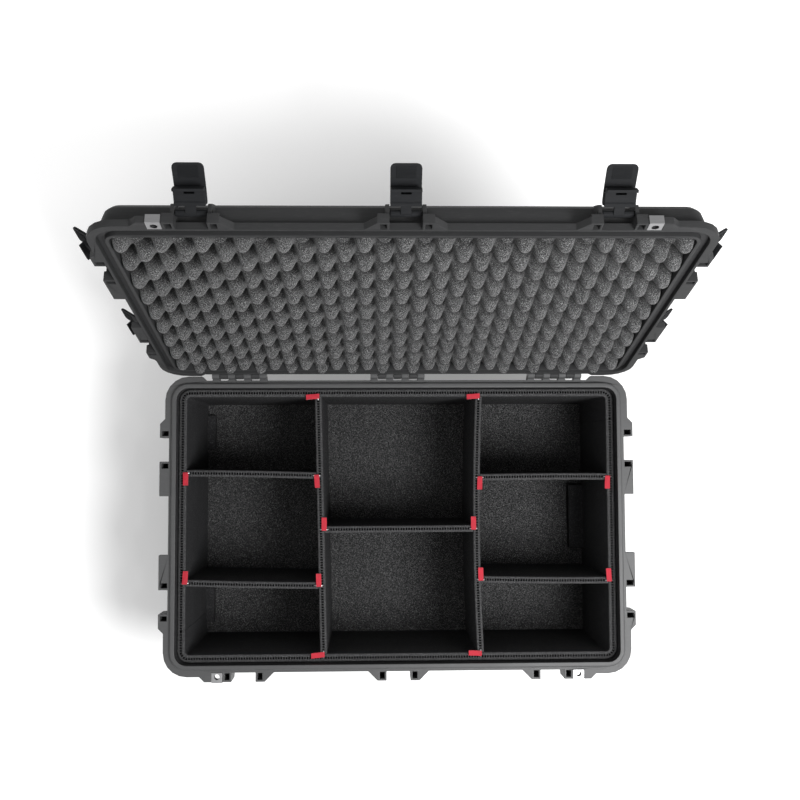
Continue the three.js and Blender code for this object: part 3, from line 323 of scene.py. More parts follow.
def mouldedPlastic(name, tone, scuffTone, roughness, grainScale, grainStrength, **changes):
    v = {**plasticSurface, **changes}
    material, tree, shader = startMaterial(name, roughness, specular=v["specular"])
    scuff = placeGroup(tree, "scuff", Amount=v["scuffAmount"])
    grain = placeGroup(tree, "grain", Scale=grainScale)
    smoothest, roughest = roughness - v["roughSpread"], roughness + v["roughSpread"]
    blendColours(tree, scuff.outputs["Mask"], tone, scuffTone, shader.inputs["Base Color"])
    spreadValue(tree, scuff.outputs["Cloud"], smoothest, roughest, shader.inputs["Roughness"])
    addBump(tree, shader, grain.outputs["Height"], grainStrength, v["grainDepth"])
    return material


# Foam and laminate: flecks over a dark ground, with a pebbled surface
foamSurface = {
    "sheen": 0.0,
    "specular": 0.2,
    "roughness": 0.95,
    "roughRange": (0.8, 1.0),
    "pebbleShare": 0.8,
}


def fleckedFoam(name, tone, fleckTone, scale, threshold, strength, depth, **changes):
    v = {**foamSurface, **changes}
    material, tree, shader = startMaterial(name, v["roughness"], specular=v["specular"])
    shader.inputs["Sheen Weight"].default_value = v["sheen"]
    speckle = placeGroup(tree, "speckle", Scale=scale, Threshold=threshold)
    grain = placeGroup(tree, "grain", Scale=scale * v["pebbleShare"])
    blendColours(tree, speckle.outputs["Flecks"], tone, fleckTone, shader.inputs["Base Color"])
    spreadValue(tree, speckle.outputs["Tone"], *v["roughRange"], shader.inputs["Roughness"])
    addBump(tree, shader, grain.outputs["Height"], strength, depth)
    return material


# Little light reaches the valleys of the egg-crate foam, so they get painted shade in their colour, darker
# with their depth below the peaks
def paintValleyShade(material, v):
    tree = material.node_tree
    shader = tree.nodes["Principled BSDF"]
    coordinates = tree.nodes.new("ShaderNodeTexCoord")
    inwards = openLid.to_3x3() @ Vector((0, 0, 1))
    depth = tree.nodes.new("ShaderNodeVectorMath")
    depth.operation = "DOT_PRODUCT"
    depth.inputs[1].default_value = inwards
    tree.links.new(coordinates.outputs["Object"], depth.inputs[0])
    start = inwards.dot(openLid @ Vector((0, 0, v["peakHeight"])))
    share = tree.nodes.new("ShaderNodeMapRange")
    share.inputs["From Min"].default_value = start + v["litShare"] * v["wave"]
    share.inputs["From Max"].default_value = start + v["darkShare"] * v["wave"]
    tree.links.new(depth.outputs["Value"], share.inputs["Value"])
    surface = shader.inputs["Base Color"].links[0].from_socket
    mix = tree.nodes.new("ShaderNodeMix")
    mix.data_type = "RGBA"
    mix.inputs["B"].default_value = (*v["valleyShadeTone"], 1.0)
    tree.links.new(share.outputs["Result"], mix.inputs["Factor"])
    tree.links.new(surface, mix.inputs["A"])
    tree.links.new(mix.outputs["Result"], shader.inputs["Base Color"])


# Steel with a fine grain, dulled along its scuffs
steelSurface = {
    "scuffAmount": 0.7,
    "scuffScale": 40.0,
    "scuffShare": 0.55,
    "smootherBy": 0.08,
    "rougherBy": 0.12,
    "grainScale": 2600.0,
    "grainStrength": 0.05,
    "grainDepth": 0.0001,
}


def brushedSteel(name, tone, roughness, v=steelSurface):
    material, tree, shader = startMaterial(name, roughness, metallic=1.0)
    scuff = placeGroup(tree, "scuff", Amount=v["scuffAmount"], Scale=v["scuffScale"])
    grain = placeGroup(tree, "grain", Scale=v["grainScale"])
    dullTone = [v["scuffShare"] * value for value in tone]
    smoothest, roughest = roughness - v["smootherBy"], roughness + v["rougherBy"]
    blendColours(tree, scuff.outputs["Mask"], tone, dullTone, shader.inputs["Base Color"])
    spreadValue(tree, scuff.outputs["Cloud"], smoothest, roughest, shader.inputs["Roughness"])
    addBump(tree, shader, grain.outputs["Height"], v["grainStrength"], v["grainDepth"])
    return material


# Ribbon with a woven bump, paler and darker in slow clouds
ribbonSurface = {
    "roughness": 0.7,
    "roughRange": (0.6, 0.85),
    "specular": 0.3,
    "sheen": 0.3,
    "cloudAmount": 0.8,
    "cloudScale": 120.0,
    "weaveStrength": 0.5,
    "weaveDepth": 0.0001,
}


def wovenRibbon(name, tone, paleTone, v=ribbonSurface):
    material, tree, shader = startMaterial(name, v["roughness"], specular=v["specular"])
    shader.inputs["Sheen Weight"].default_value = v["sheen"]
    scuff = placeGroup(tree, "scuff", Amount=v["cloudAmount"], Scale=v["cloudScale"])
    weave = placeGroup(tree, "weave")
    blendColours(tree, scuff.outputs["Cloud"], tone, paleTone, shader.inputs["Base Color"])
    spreadValue(tree, scuff.outputs["Cloud"], *v["roughRange"], shader.inputs["Roughness"])
    addBump(tree, shader, weave.outputs["Height"], v["weaveStrength"], v["weaveDepth"])
    return material


finishes = {
    "baseShell": mouldedPlastic(
        "baseShellPlastic", tone=(0.046, 0.0465, 0.0475), scuffTone=(0.10, 0.10, 0.102),
        roughness=0.5, grainScale=1300, grainStrength=0.35, specular=0.35),
    # The lid is of the base's plastic, toned darker and less glossy as painted shade on its dark walls
    "lidShell": mouldedPlastic(
        "lidShellPlasticShaded", tone=(0.024, 0.0243, 0.025), scuffTone=(0.06, 0.06, 0.061),
        roughness=0.6, grainScale=1300, grainStrength=0.35, specular=0.14),
    "latch": mouldedPlastic(
        "latchNylon", tone=(0.009, 0.0095, 0.0105), scuffTone=(0.028, 0.028, 0.030),
        roughness=0.7, grainScale=2200, grainStrength=0.25, specular=0.1),
    "handle": mouldedPlastic(
        "handleGripPlastic", tone=(0.018, 0.018, 0.019), scuffTone=(0.05, 0.05, 0.052),
        roughness=0.6, grainScale=1700, grainStrength=0.4),
    "seal": mouldedPlastic(
        "sealRubber", tone=(0.012, 0.012, 0.013), scuffTone=(0.03, 0.03, 0.03),
        roughness=0.7, grainScale=2400, grainStrength=0.2, scuffAmount=0.2),
    "wheel": mouldedPlastic(
        "wheelRubber", tone=(0.014, 0.014, 0.015), scuffTone=(0.05, 0.048, 0.045),
        roughness=0.65, grainScale=1500, grainStrength=0.5, scuffAmount=0.9),
    "eggCrate": fleckedFoam(
        "eggCrateFoam", tone=(0.022, 0.0223, 0.023), fleckTone=(0.31, 0.31, 0.312),
        scale=1350, threshold=0.55, strength=0.9, depth=0.0005, sheen=0.12),
    "laminate": fleckedFoam(
        "linerLaminate", tone=(0.013, 0.013, 0.014), fleckTone=(0.09, 0.09, 0.093),
        scale=900, threshold=0.60, strength=0.8, depth=0.0006),
    "floorFoam": fleckedFoam(
        "floorPadFoam", tone=(0.013, 0.013, 0.0135), fleckTone=(0.20, 0.20, 0.202),
        scale=1150, threshold=0.575, strength=0.9, depth=0.0006),
    "foamEdge": fleckedFoam(
        "cutFoamEdge", tone=(0.026, 0.026, 0.027), fleckTone=(0.112, 0.112, 0.114),
        scale=1100, threshold=0.56, strength=0.7, depth=0.0004),
    # The groove of the fluted core and the sides of its webs are painted near black: the core's dark
    # plastic, with painted shade deep in the flutes
    "core": fleckedFoam(
        "coreShade", tone=(0.0012, 0.0012, 0.0012), fleckTone=(0.003, 0.003, 0.003),
        scale=900, threshold=0.6, strength=0.1, depth=0.0002, specular=0.0),
    "ribbon": wovenRibbon("redRibbon", tone=(0.24, 0.004, 0.013), paleTone=(0.42, 0.011, 0.027)),
    "plate": brushedSteel("plateSteel", tone=(0.30, 0.30, 0.305), roughness=0.42),
    "steel": brushedSteel("rodSteel", tone=(0.55, 0.55, 0.56), roughness=0.32),
}
print("materials built:", len(finishes))


# Rigid moulded pieces keep the solid's form, with every edge rounded as a mould leaves it
edgeRounding = {
    "shell": 0.0009,  # the width that each kind of piece is rounded by
    "small": 0.0006,
    "plate": 0.00015,
    "grip": 0.0022,
    "pad": 0.0020,
    "mergeWithin": 0.00002,
    "steps": 2,
    "flatWithin": 1.0,  # faces this close to one plane, in degrees, are joined first
    "edgeAngle": 24.0,
    "smoothAngle": 40.0,
}


def roundedCopy(node, name, width, r=edgeRounding):
    piece = bpy.data.objects.new(name, frame["nodes"][node].data.copy())
    piece.data.materials.clear()
    scene.collection.objects.link(piece)
    makeActive(piece)
    bpy.ops.mesh.customdata_custom_splitnormals_clear()
    bpy.ops.object.mode_set(mode="EDIT")
    bpy.ops.mesh.select_all(action="SELECT")
    bpy.ops.mesh.remove_doubles(threshold=r["mergeWithin"])
    bpy.ops.mesh.dissolve_limited(angle_limit=math.radians(r["flatWithin"]))
    bpy.ops.mesh.quads_convert_to_tris(ngon_method="CLIP")
    bpy.ops.object.mode_set(mode="OBJECT")
    bevel = piece.modifiers.new("mouldEdge", "BEVEL")
    bevel.width = width
    bevel.segments = r["steps"]
    bevel.limit_method = "ANGLE"
    bevel.angle_limit = math.radians(r["edgeAngle"])
    bevel.use_clamp_overlap = False
    applyModifiers(piece)
    smoothByAngle(piece, r["smoothAngle"])
    flatFaces = piece.modifiers.new("flatFaces", "WEIGHTED_NORMAL")
    flatFaces.keep_sharp = True
    applyModifiers(piece)
    return piece


# Node, piece, kind of rounding, slot and finish
rigidPieces = [
    ("base_shell", "baseShellMoulding", "shell", "shell_base", "baseShell"),
    ("lid_shell", "lidShellMoulding", "shell", "shell_lid", "lidShell"),
    ("lid_gasket", "lidSealRing", "small", "seal", "seal"),
    ("pressure_valve", "pressureValveBody", "small", "latch", "latch"),
    ("handle_channel", "pullHandleChannel", "small", "handle", "handle"),
    ("pull_grip", "pullHandleGrip", "grip", "handle", "handle"),
    ("front_handle", "frontHandleBail", "grip", "handle", "handle"),
    ("end_handle", "endHandleBail", "grip", "handle", "handle"),
    ("wheel_front", "wheelFrontTyre", "small", "wheel", "wheel"),
    ("wheel_rear", "wheelRearTyre", "small", "wheel", "wheel"),
    ("base_padlock_plate_left", "basePadlockPlateLeft", "plate", "plate", "plate"),
    ("base_padlock_plate_right", "basePadlockPlateRight", "plate", "plate", "plate"),
    ("lid_padlock_plate_left", "lidPadlockPlateLeft", "plate", "plate", "plate"),
    ("lid_padlock_plate_right", "lidPadlockPlateRight", "plate", "plate", "plate"),
]
stationNames = [node[len("latch_link_"):] for node in frame["nodes"] if node.startswith("latch_link_")]
for station in stationNames:
    rigidPieces.append((f"latch_link_{station}", f"latchLink_{station}", "small", "latch", "latch"))
    rigidPieces.append((f"latch_lever_{station}", f"latchLever_{station}", "small", "latch", "latch"))

for node, name, edge, slot, finish in rigidPieces:
    dress(roundedCopy(node, name, edgeRounding[edge]), node, slot, finishes[finish])

# The tub's inner walls and floor, the wheel housings and the handle pocket among them, take the liner's
# darker laminate: painted shade on the shell's plastic, seen where the liner is cut out over them
paintedShadeInside = {"halfX": 0.372, "halfY": 0.232, "low": 0.0345, "high": 0.2}
tub = bpy.data.objects["baseShellMoulding"]
tub.data.materials.append(finishes["laminate"])
for face in tub.data.polygons:
    inside = abs(face.center.x) < paintedShadeInside["halfX"] and abs(face.center.y) < paintedShadeInside["halfY"]
    if inside and paintedShadeInside["low"] < face.center.z < paintedShadeInside["high"]:
        face.material_index = 1

# Grip ribs across the inner face of each lever's tip, placed as (y, z) from the lever's pins
gripRibs = {
    "count": 12,
    "first": (0.0005, -0.0285),
    "last": (0.0030, -0.0430),
    "wide": 0.024,
    "radius": 0.0007,
    "sides": 8,
    "smoothAngle": 50,
    "quarters": {"front": 0, "right": 1, "left": 3},
}


def addGripRibs(station, v):
    thrown = math.radians(joints[f"latch_link_{station}_swing"]["range_deg"][1])
    turn = (openLid.to_3x3() @ Matrix.Rotation(v["quarters"][station.split("_")[0]] * math.pi / 2, 3, "Z")
            @ Matrix.Rotation(-thrown, 3, "X")).to_4x4()
    place = Matrix.Translation(Vector(joints[f"latch_lever_{station}_pull"]["pos_m"])) @ turn
    first, last = Vector(v["first"]), Vector(v["last"])
    ribs = []
    for index in range(v["count"]):
        spot = first.lerp(last, index / (v["count"] - 1))
        bpy.ops.mesh.primitive_cylinder_add(
            vertices=v["sides"], radius=v["radius"], depth=v["wide"], rotation=(0, math.pi / 2, 0))
        rib = bpy.context.object
        rib.data.transform(rib.matrix_world)
        rib.matrix_world = Matrix()
        rib.data.transform(place @ Matrix.Translation((0, spot.x, spot.y)))
        ribs.append(rib)
    deselectAll()
    for rib in ribs:
        rib.select_set(True)
    bpy.context.view_layer.objects.active = ribs[0]
    bpy.ops.object.join()
    ribs[0].name = f"leverRibs_{station}"
    smoothByAngle(ribs[0], v["smoothAngle"])
    return ribs[0]


for station in stationNames:
    dress(addGripRibs(station, gripRibs), f"latch_lever_{station}", "latch", finishes["latch"])

bareNodes = [node for node in frame["nodes"] if node.startswith(("hinge_pin", "wheel_axle", "pull_tube"))]
for node in bareNodes:
    frame["nodes"][node].data.materials.clear()
    frame["nodes"][node].data.materials.append(finishes["steel"])
print("moulded pieces rounded:", len(rigidPieces))


# Egg-crate foam, formed with the lid shut and then swung open with it
eggCrate = {
    "halfX": 0.3640,
    "halfY": 0.2225,
    "corner": 0.012,
    "pitch": 0.0505,
    "wave": 0.0190,
    "peakHeight": 0.2523,  # heights with the lid shut
    "straightTop": 0.2905,
    "backHeight": 0.3025,
    "backInset": 0.009,
    "cell": 0.0025,
    "unevenness": 0.0016,
    "swells": 6,
    "swellTurns": (25, 90),
    "swellPhase": 6,
    "smoothAngle": 60,
    "seed": 11,
    "litShare": 0.45,  # depth below the peaks where it starts to darken, as a share of the wave
    "darkShare": 1.55,
    # near-black painted shade at the bottom of the valleys
    "valleyShadeTone": (0.002, 0.002, 0.002),
}
paintValleyShade(finishes["eggCrate"], eggCrate)


def intoRoundedPlan(x, y, halfX, halfY, corner):
    overX = abs(x) - (halfX - corner)
    overY = abs(y) - (halfY - corner)
    if overX > 0 and overY > 0:
        reach = math.hypot(overX, overY)
        if reach > corner:
            x = math.copysign(halfX - corner + overX * corner / reach, x)
            y = math.copysign(halfY - corner + overY * corner / reach, y)
    return x, y


def eggCrateFoam(f):
    across = round(2 * f["halfX"] / f["cell"])
    along = round(2 * f["halfY"] / f["cell"])
    bpy.ops.mesh.primitive_grid_add(x_subdivisions=across, y_subdivisions=along, size=2)
    foam = bpy.context.object
    foam.name = "eggCrateFoam"
    draw = random.Random(f["seed"])
    turns = f["swellTurns"]
    swells = [(draw.uniform(*turns), draw.uniform(*turns), draw.uniform(0, f["swellPhase"]))
              for _ in range(f["swells"])]
    halves = f["halfX"], f["halfY"]
    for vertex in foam.data.vertices:
        x, y = intoRoundedPlan(vertex.co.x * halves[0], vertex.co.y * halves[1], *halves, f["corner"])
        wave = math.cos(math.tau * x / f["pitch"]) * math.cos(math.tau * y / f["pitch"])
        rounded = wave * (1.5 - 0.5 * wave * wave)  # rounder peaks, and steeper between them
        uneven = sum(math.sin(a * x + b * y + c) for a, b, c in swells) / len(swells)
        z = f["peakHeight"] + f["wave"] * (1 - rounded) + f["unevenness"] * (1 + uneven) / 2
        vertex.co = (x, y, z)
    makeActive(foam)
    bpy.ops.object.mode_set(mode="EDIT")
    bpy.ops.mesh.select_all(action="DESELECT")
    bpy.ops.mesh.select_mode(type="EDGE")
    bpy.ops.mesh.select_non_manifold()
    bpy.ops.mesh.extrude_edges_move()
    bpy.ops.object.mode_set(mode="OBJECT")
    for vertex in foam.data.vertices:
        if vertex.select:
            vertex.co.z = f["straightTop"]
    bpy.ops.object.mode_set(mode="EDIT")
    bpy.ops.mesh.extrude_edges_move()
    bpy.ops.object.mode_set(mode="OBJECT")
    shrinkX, shrinkY = [1 - f["backInset"] / half for half in halves]
    for vertex in foam.data.vertices:
        if vertex.select:
            vertex.co = (vertex.co.x * shrinkX, vertex.co.y * shrinkY, f["backHeight"])
    bpy.ops.object.mode_set(mode="EDIT")
    bpy.ops.mesh.edge_face_add()
    bpy.ops.object.mode_set(mode="OBJECT")
    faceOutwards(foam)
    foam.data.transform(openLid)
    smoothByAngle(foam, f["smoothAngle"])
    return foam


foam = eggCrateFoam(eggCrate)
dress(foam, "lid_foam", "egg_crate_foam", finishes["eggCrate"])
print("egg-crate foam made")

# Divider liner: two foam sheets on a fluted core, stood on edge
liner = {
    "top": 0.2480,
    "foot": 0.0476,
    "panelThick": 0.0130,
    "dividerThick": 0.0115,
    "coreWide": 0.0040,
    "grooveDeep": 0.0100,
    "edgeRound": 0.0022,
    "roundSteps": 3,
    "flutePitch": 0.0044,
    "webThick": 0.0016,
    "webBelow": 0.0003,  # webs stop this far below the top edge
    "panelHalfX": 0.36437,
    "panelHalfY": 0.22287,
    "panelCorner": 0.0125,
    "cornerTurns": 5,
    "lean": 0.0022,  # the foot stands in by this, for the tub's draft
    "seam": 0.1760,
    "seamGap": 0.0003,
    "sampleStep": 0.006,
    "smoothAngle": 40,
}
laminateFace, edgeFace, coreShadeFace = 0, 1, 2  # in the order of linerFinishes


# Section of a strip as (across, height) points, and the finish of the face after each point
def stripSection(thick, s):
    half, edge, core = thick / 2, s["edgeRound"], s["coreWide"] / 2
    top, groove = s["top"], s["top"] - s["grooveDeep"]
    right = [(half, s["foot"], laminateFace)]
    for step in range(s["roundSteps"] + 1):
        angle = math.pi / 2 * step / s["roundSteps"]
        right.append((half - edge + edge * math.cos(angle), top - edge + edge * math.sin(angle), edgeFace))
    right.append((core, top, coreShadeFace))
    right.append((core, groove, coreShadeFace))
    left = [(-x, z) for x, z, kind in reversed(right)]
    kinds = [kind for x, z, kind in right]
    return [(x, z) for x, z, kind in right] + left, kinds + kinds[-2::-1] + [laminateFace]


def stripAlong(name, path, thick, s, wallLean=0.0, endLean=0.0):
    section, kinds = stripSection(thick, s)
    height = s["top"] - s["foot"]
    count = len(section)
    tangents = []
    for index in range(len(path)):
        before, after = path[max(index - 1, 0)], path[min(index + 1, len(path) - 1)]
        tangents.append((after - before).normalized())
    points, faces, finishesOf = [], [], []
    for index, (place, tangent) in enumerate(zip(path, tangents)):
        normal = Vector((-tangent.y, tangent.x))
        endShift = endLean * ((index == 0) - (index == len(path) - 1))
        for across, z in section:
            down = (s["top"] - z) / height
            spot = place + normal * (across + wallLean * down) + tangent * (endShift * down)
            points.append((spot.x, spot.y, z))
        if index:
            start = (index - 1) * count
            for corner in range(count):
                after = (corner + 1) % count
                faces.append((start + corner, start + after, start + count + after, start + count + corner))
                finishesOf.append(kinds[corner])
    faces.append(tuple(range(count)))
    faces.append(tuple(range(len(points) - count, len(points))))
    finishesOf += [laminateFace, laminateFace]
    piece = meshPiece(name, points, faces, finishesOf)
    faceOutwards(piece)
    return piece


# Finish and corners of each face of a web, whose lower four corners come first
webFaces = (
    (edgeFace, (4, 5, 6, 7)),
    (coreShadeFace, (0, 1, 5, 4)),
    (coreShadeFace, (1, 2, 6, 5)),
    (coreShadeFace, (2, 3, 7, 6)),
    (coreShadeFace, (3, 0, 4, 7)),
    (coreShadeFace, (3, 2, 1, 0)),
)


# Thin webs across the groove of the fluted core, one to each flute
def addWebs(piece, path, s):
    mesh = bmesh.new()
    mesh.from_mesh(piece.data)
    run = 0.0
    nextWeb = s["flutePitch"]
    for start, end in zip(path, path[1:]):
        step = (end - start).length
        tangent = (end - start).normalized()
        normal = Vector((-tangent.y, tangent.x))
        while nextWeb < run + step:
            place = start.lerp(end, (nextWeb - run) / step)
            corners = []
            for z in (s["top"] - s["grooveDeep"], s["top"] - s["webBelow"]):
                for along, across in ((-1, -1), (1, -1), (1, 1), (-1, 1)):
                    spot = place + tangent * (along * s["webThick"] / 2)
                    spot += normal * (across * s["coreWide"] / 2)
                    corners.append(mesh.verts.new((spot.x, spot.y, z)))
            for kind, order in webFaces:
                mesh.faces.new([corners[index] for index in order]).material_index = kind
            nextWeb += s["flutePitch"]
        run += step
    mesh.to_mesh(piece.data)
    mesh.free()


def sampled(corners, step):
    path = [corners[0]]
    for start, end in zip(corners, corners[1:]):
        pieces = max(1, round((end - start).length / step))
        path += [start.lerp(end, index / pieces) for index in range(1, pieces + 1)]
    return path


# The wall path turns each corner of the tub on an arc
def cornerArc(signX, signY, startQuarter, s):
    corner, turns = s["panelCorner"], s["cornerTurns"]
    centre = Vector((signX * (s["panelHalfX"] - corner), signY * (s["panelHalfY"] - corner)))
    angles = [(startQuarter + index / turns) * math.pi / 2 for index in range(turns + 1)]
    return [centre + corner * Vector((math.cos(angle), math.sin(angle))) for angle in angles]


# Each wall panel runs anticlockwise round its half of the tub, from one seam to the other
def wallPath(front, s):
    seam = s["seam"]
    x = s["panelHalfX"]
    if front:
        return ([Vector((-x, -seam - s["seamGap"]))] + cornerArc(-1, -1, 2, s) + cornerArc(1, -1, 3, s)
                + [Vector((x, seam - s["seamGap"]))])
    return ([Vector((x, seam + s["seamGap"]))] + cornerArc(1, 1, 0, s) + cornerArc(-1, 1, 1, s)
            + [Vector((-x, -seam + s["seamGap"]))])


linerFinishes = (finishes["laminate"], finishes["foamEdge"], finishes["core"])
bulges = {
    "clear": 0.0004,
    "housingX": (-0.392, -0.341),
    "housingY": (0.130, 0.194),
    "housingTop": 0.056,
    "pocketX": (0.329, 0.392),
    "pocketHalfY": 0.060,
    "pocketTop": 0.062,
}


# The wheel housings and the handle pocket rise from the tub's floor, and the liner is cut out over them
def cutBulges(piece, b):
    gap = b["clear"]
    nearY, farY = b["housingY"]
    boxes = [
        (b["housingX"], (-farY, -nearY), b["housingTop"]),
        (b["housingX"], (nearY, farY), b["housingTop"]),
        (b["pocketX"], (-b["pocketHalfY"], b["pocketHalfY"]), b["pocketTop"]),
    ]
    for (lowX, highX), (lowY, highY), top in boxes:
        size = (highX - lowX + 2 * gap, highY - lowY + 2 * gap, top + gap)
        middle = ((lowX + highX) / 2, (lowY + highY) / 2, size[2] / 2)
        deselectAll()
        bpy.ops.mesh.primitive_cube_add(size=1, location=middle, scale=size)
        cutter = bpy.context.object
        cut = piece.modifiers.new("bulge", "BOOLEAN")
        cut.operation = "DIFFERENCE"
        cut.object = cutter
        applyModifiers(piece)
        bpy.data.objects.remove(cutter)


def finishStrip(strip, path, node):
    addWebs(strip, path, liner)
    smoothByAngle(strip, liner["smoothAngle"])
    dress(strip, node, "liner", *linerFinishes)


for side in ("front", "rear"):
    path = sampled(wallPath(side == "front", liner), liner["sampleStep"])
    panel = stripAlong(f"linerPanel_{side}", path, liner["panelThick"], liner, wallLean=liner["lean"])
    cutBulges(panel, bulges)
    finishStrip(panel, path, f"liner_panel_{side}")

# Dividers: the long ones lean or bow a little from wall to wall, and the cross ones between their ends
dividers = {
    "long": {  # x at the rear wall, x at the front wall, and bow
        "left": (-0.1352, -0.1256, 0.0),
        "right": (0.1392, 0.1390, 0.0052),
    },
    "reachX": 0.35787,
    "reachY": 0.21637,
    "clear": 0.0004,
    "bow": 0.0008,
    "crossShares": {  # bay, y of the left and right end as shares of reachY, and way of the bow
        "left_rear": ("left", 0.403, 0.380, 1),
        "left_front": ("left", -0.449, -0.475, -1),
        "middle": ("middle", -0.041, -0.039, 0),
        "right_rear": ("right", 0.361, 0.363, 1),
        "right_front": ("right", -0.436, -0.449, -1),
    },
}


def longCentre(side, y):
    rear, front, bow = dividers["long"][side]
    share = (y + dividers["reachY"]) / (2 * dividers["reachY"])
    return front + (rear - front) * share - 4 * bow * share * (1 - share)


def dividerPath(start, end, bow, step):
    path = sampled([start, end], step)
    across = (end - start).normalized()
    across = Vector((-across.y, across.x))
    last = len(path) - 1
    return [place + across * (4 * bow * index / last * (1 - index / last))
            for index, place in enumerate(path)]


for side in ("left", "right"):
    reach = dividers["reachY"] - dividers["clear"]
    rows = sampled([Vector((0, -reach)), Vector((0, reach))], liner["sampleStep"])
    path = [Vector((longCentre(side, row.y), row.y)) for row in rows]
    divider = stripAlong(f"longDivider_{side}", path, liner["dividerThick"], liner, endLean=liner["lean"])
    finishStrip(divider, path, f"long_divider_{side}")

edgeOfLong = liner["dividerThick"] / 2 + dividers["clear"]
# The long divider that stands at a bay's left end, and the one at its right end
leftOfBay = {"middle": "left", "right": "right"}
rightOfBay = {"left": "left", "middle": "right"}


# The two ends of a cross divider, each against the wall panel or a long divider
def crossEnds(bay, startShare, endShare, wallClear):
    startY, endY = startShare * dividers["reachY"], endShare * dividers["reachY"]
    wallX = dividers["reachX"] - wallClear
    startX = -wallX if bay == "left" else longCentre(leftOfBay[bay], startY) + edgeOfLong
    endX = wallX if bay == "right" else longCentre(rightOfBay[bay], endY) - edgeOfLong
    return Vector((startX, startY)), Vector((endX, endY))


for name, (bay, startShare, endShare, way) in dividers["crossShares"].items():
    start, end = crossEnds(bay, startShare, endShare, dividers["clear"])
    path = dividerPath(start, end, way * dividers["bow"], liner["sampleStep"])
    divider = stripAlong(f"crossDivider_{name}", path, liner["dividerThick"], liner)
    cutBulges(divider, bulges)
    finishStrip(divider, path, f"cross_divider_{name}")

pad = roundedCopy("floor_pad", "floorPadCover", edgeRounding["pad"])
dress(pad, "floor_pad", "liner", finishes["floorFoam"])
print("divider liner made")

# Divider pins: a bent wire staple and a folded red ribbon on each
pinShape = {
    "wireRadius": 0.0010,
    "wireSteps": 2,
    "bendShare": 0.8,
    "span": 0.0125,
    "drop": 0.0600,
    "setback": 0.0055,
    "clear": 0.0003,
    "ribbonWide": 0.0085,
    "ribbonLong": 0.0220,
    "ribbonThick": 0.0006,
    "loop": 0.0016,
    "underShare": 0.45,  # heights of the two runs from the loop's middle, as shares of its radius
    "overShare": 0.85,
    "loopSquash": 0.9,
    "loopShare": 0.75,
    "loopRaise": 0.25,
    "restShare": 0.3,  # the upper run sags towards this height at its end
    "sagShare": 0.75,
    "lift": 0.0018,
    "liftRange": (0.6, 1.3),
    "liftPower": 1.6,
    "curlRange": (0.4, 1.0),
    "turn": 0.09,
    "ripple": 0.0003,
    "rippleTurns": 900,
    "rippleDrift": 5,
    "aboveWire": 0.0004,
    "lengthSteps": 26,
    "widthSteps": 3,
    "smoothAngle": 50,
    "seed": 5,
}
# Way along y in which the two tags of a cross divider lie
tagTurns = {"left_rear": -1, "left_front": 1, "middle": 1, "right_rear": -1, "right_front": 1}


# Inner leg, way to the outer leg and way of the tag, for each pin
def pinPlaces():
    places = []
    for name, (bay, startShare, endShare, _) in dividers["crossShares"].items():
        tag = Vector((0, tagTurns[name]))
        back = Vector((pinShape["setback"], 0))
        start, end = crossEnds(bay, startShare, endShare, 0)
        places.append((start + back, Vector((-1, 0)), tag))
        places.append((end - back, Vector((1, 0)), tag))
    for side in ("left", "right"):
        for hand in (-1, 1):
            y = hand * (dividers["reachY"] - pinShape["setback"])
            places.append((Vector((longCentre(side, y), y)), Vector((0, hand)), Vector((-1, 0))))
    return places


def wireStaple(name, inner, outer, p):
    top = liner["top"] + p["clear"] + p["wireRadius"]
    low = liner["top"] - p["drop"] + p["wireRadius"]
    curve = bpy.data.curves.new(name, "CURVE")
    curve.dimensions = "3D"
    curve.bevel_depth = p["wireRadius"]
    curve.bevel_resolution = p["wireSteps"]
    curve.use_fill_caps = True
    along = (outer - inner).normalized() * p["wireRadius"] * p["bendShare"]
    bendLow = top - p["wireRadius"] * p["bendShare"]
    corners = [(*inner, low), (*inner, bendLow), (*(inner + along), top),
               (*(outer - along), top), (*outer, bendLow), (*outer, low)]
    spline = curve.splines.new("POLY")
    spline.points.add(len(corners) - 1)
    for point, corner in zip(spline.points, corners):
        point.co = (*corner, 1)
    staple = bpy.data.objects.new(name, curve)
    scene.collection.objects.link(staple)
    makeActive(staple)
    bpy.ops.object.convert(target="MESH")
    smoothByAngle(bpy.context.object, p["smoothAngle"])
    return bpy.context.object


# A ribbon runs out along its underside, round the loop over the wire, and back along its upper side
def ribbonLoop(name, middle, tag, p, draw):
    across = Vector((-tag.y, tag.x))
    base = liner["top"] + p["clear"] + p["wireRadius"]
    turn = draw.uniform(-p["turn"], p["turn"])
    lift = p["lift"] * draw.uniform(*p["liftRange"])
    curl = draw.uniform(*p["curlRange"])
    bpy.ops.mesh.primitive_grid_add(x_subdivisions=p["lengthSteps"], y_subdivisions=p["widthSteps"], size=2)
    ribbon = bpy.context.object
    ribbon.name = name
    loop = p["loop"]
    flat = p["ribbonLong"] - loop
    bend = math.pi * loop
    for vertex in ribbon.data.vertices:
        side = vertex.co.y * p["ribbonWide"] / 2
        run = (vertex.co.x + 1) / 2 * (2 * flat + bend)
        if run < flat:
            along, height = flat - run, -loop * p["underShare"]
        elif run < flat + bend:
            angle = (run - flat) / loop
            along, height = -loop * math.sin(angle), -loop * math.cos(angle) * p["loopSquash"]
            height = height * p["loopShare"] + loop * p["loopRaise"]
        else:
            along, height = run - flat - bend, loop * p["overShare"]
        reach = max(along, 0) / flat
        if height > 0:
            height -= (height + loop * p["restShare"]) * p["sagShare"] * reach ** 2 * curl
        height += lift * reach ** p["liftPower"]
        height += p["ripple"] * math.sin(side * p["rippleTurns"] + reach * p["rippleDrift"])
        spot = middle + tag * along + across * (side + along * turn)
        vertex.co = (spot.x, spot.y, base + p["aboveWire"] + height)
    thick = ribbon.modifiers.new("tapeThickness", "SOLIDIFY")
    thick.thickness = p["ribbonThick"]
    thick.offset = 0
    applyModifiers(ribbon)
    faceOutwards(ribbon)
    smoothByAngle(ribbon, p["smoothAngle"])
    return ribbon


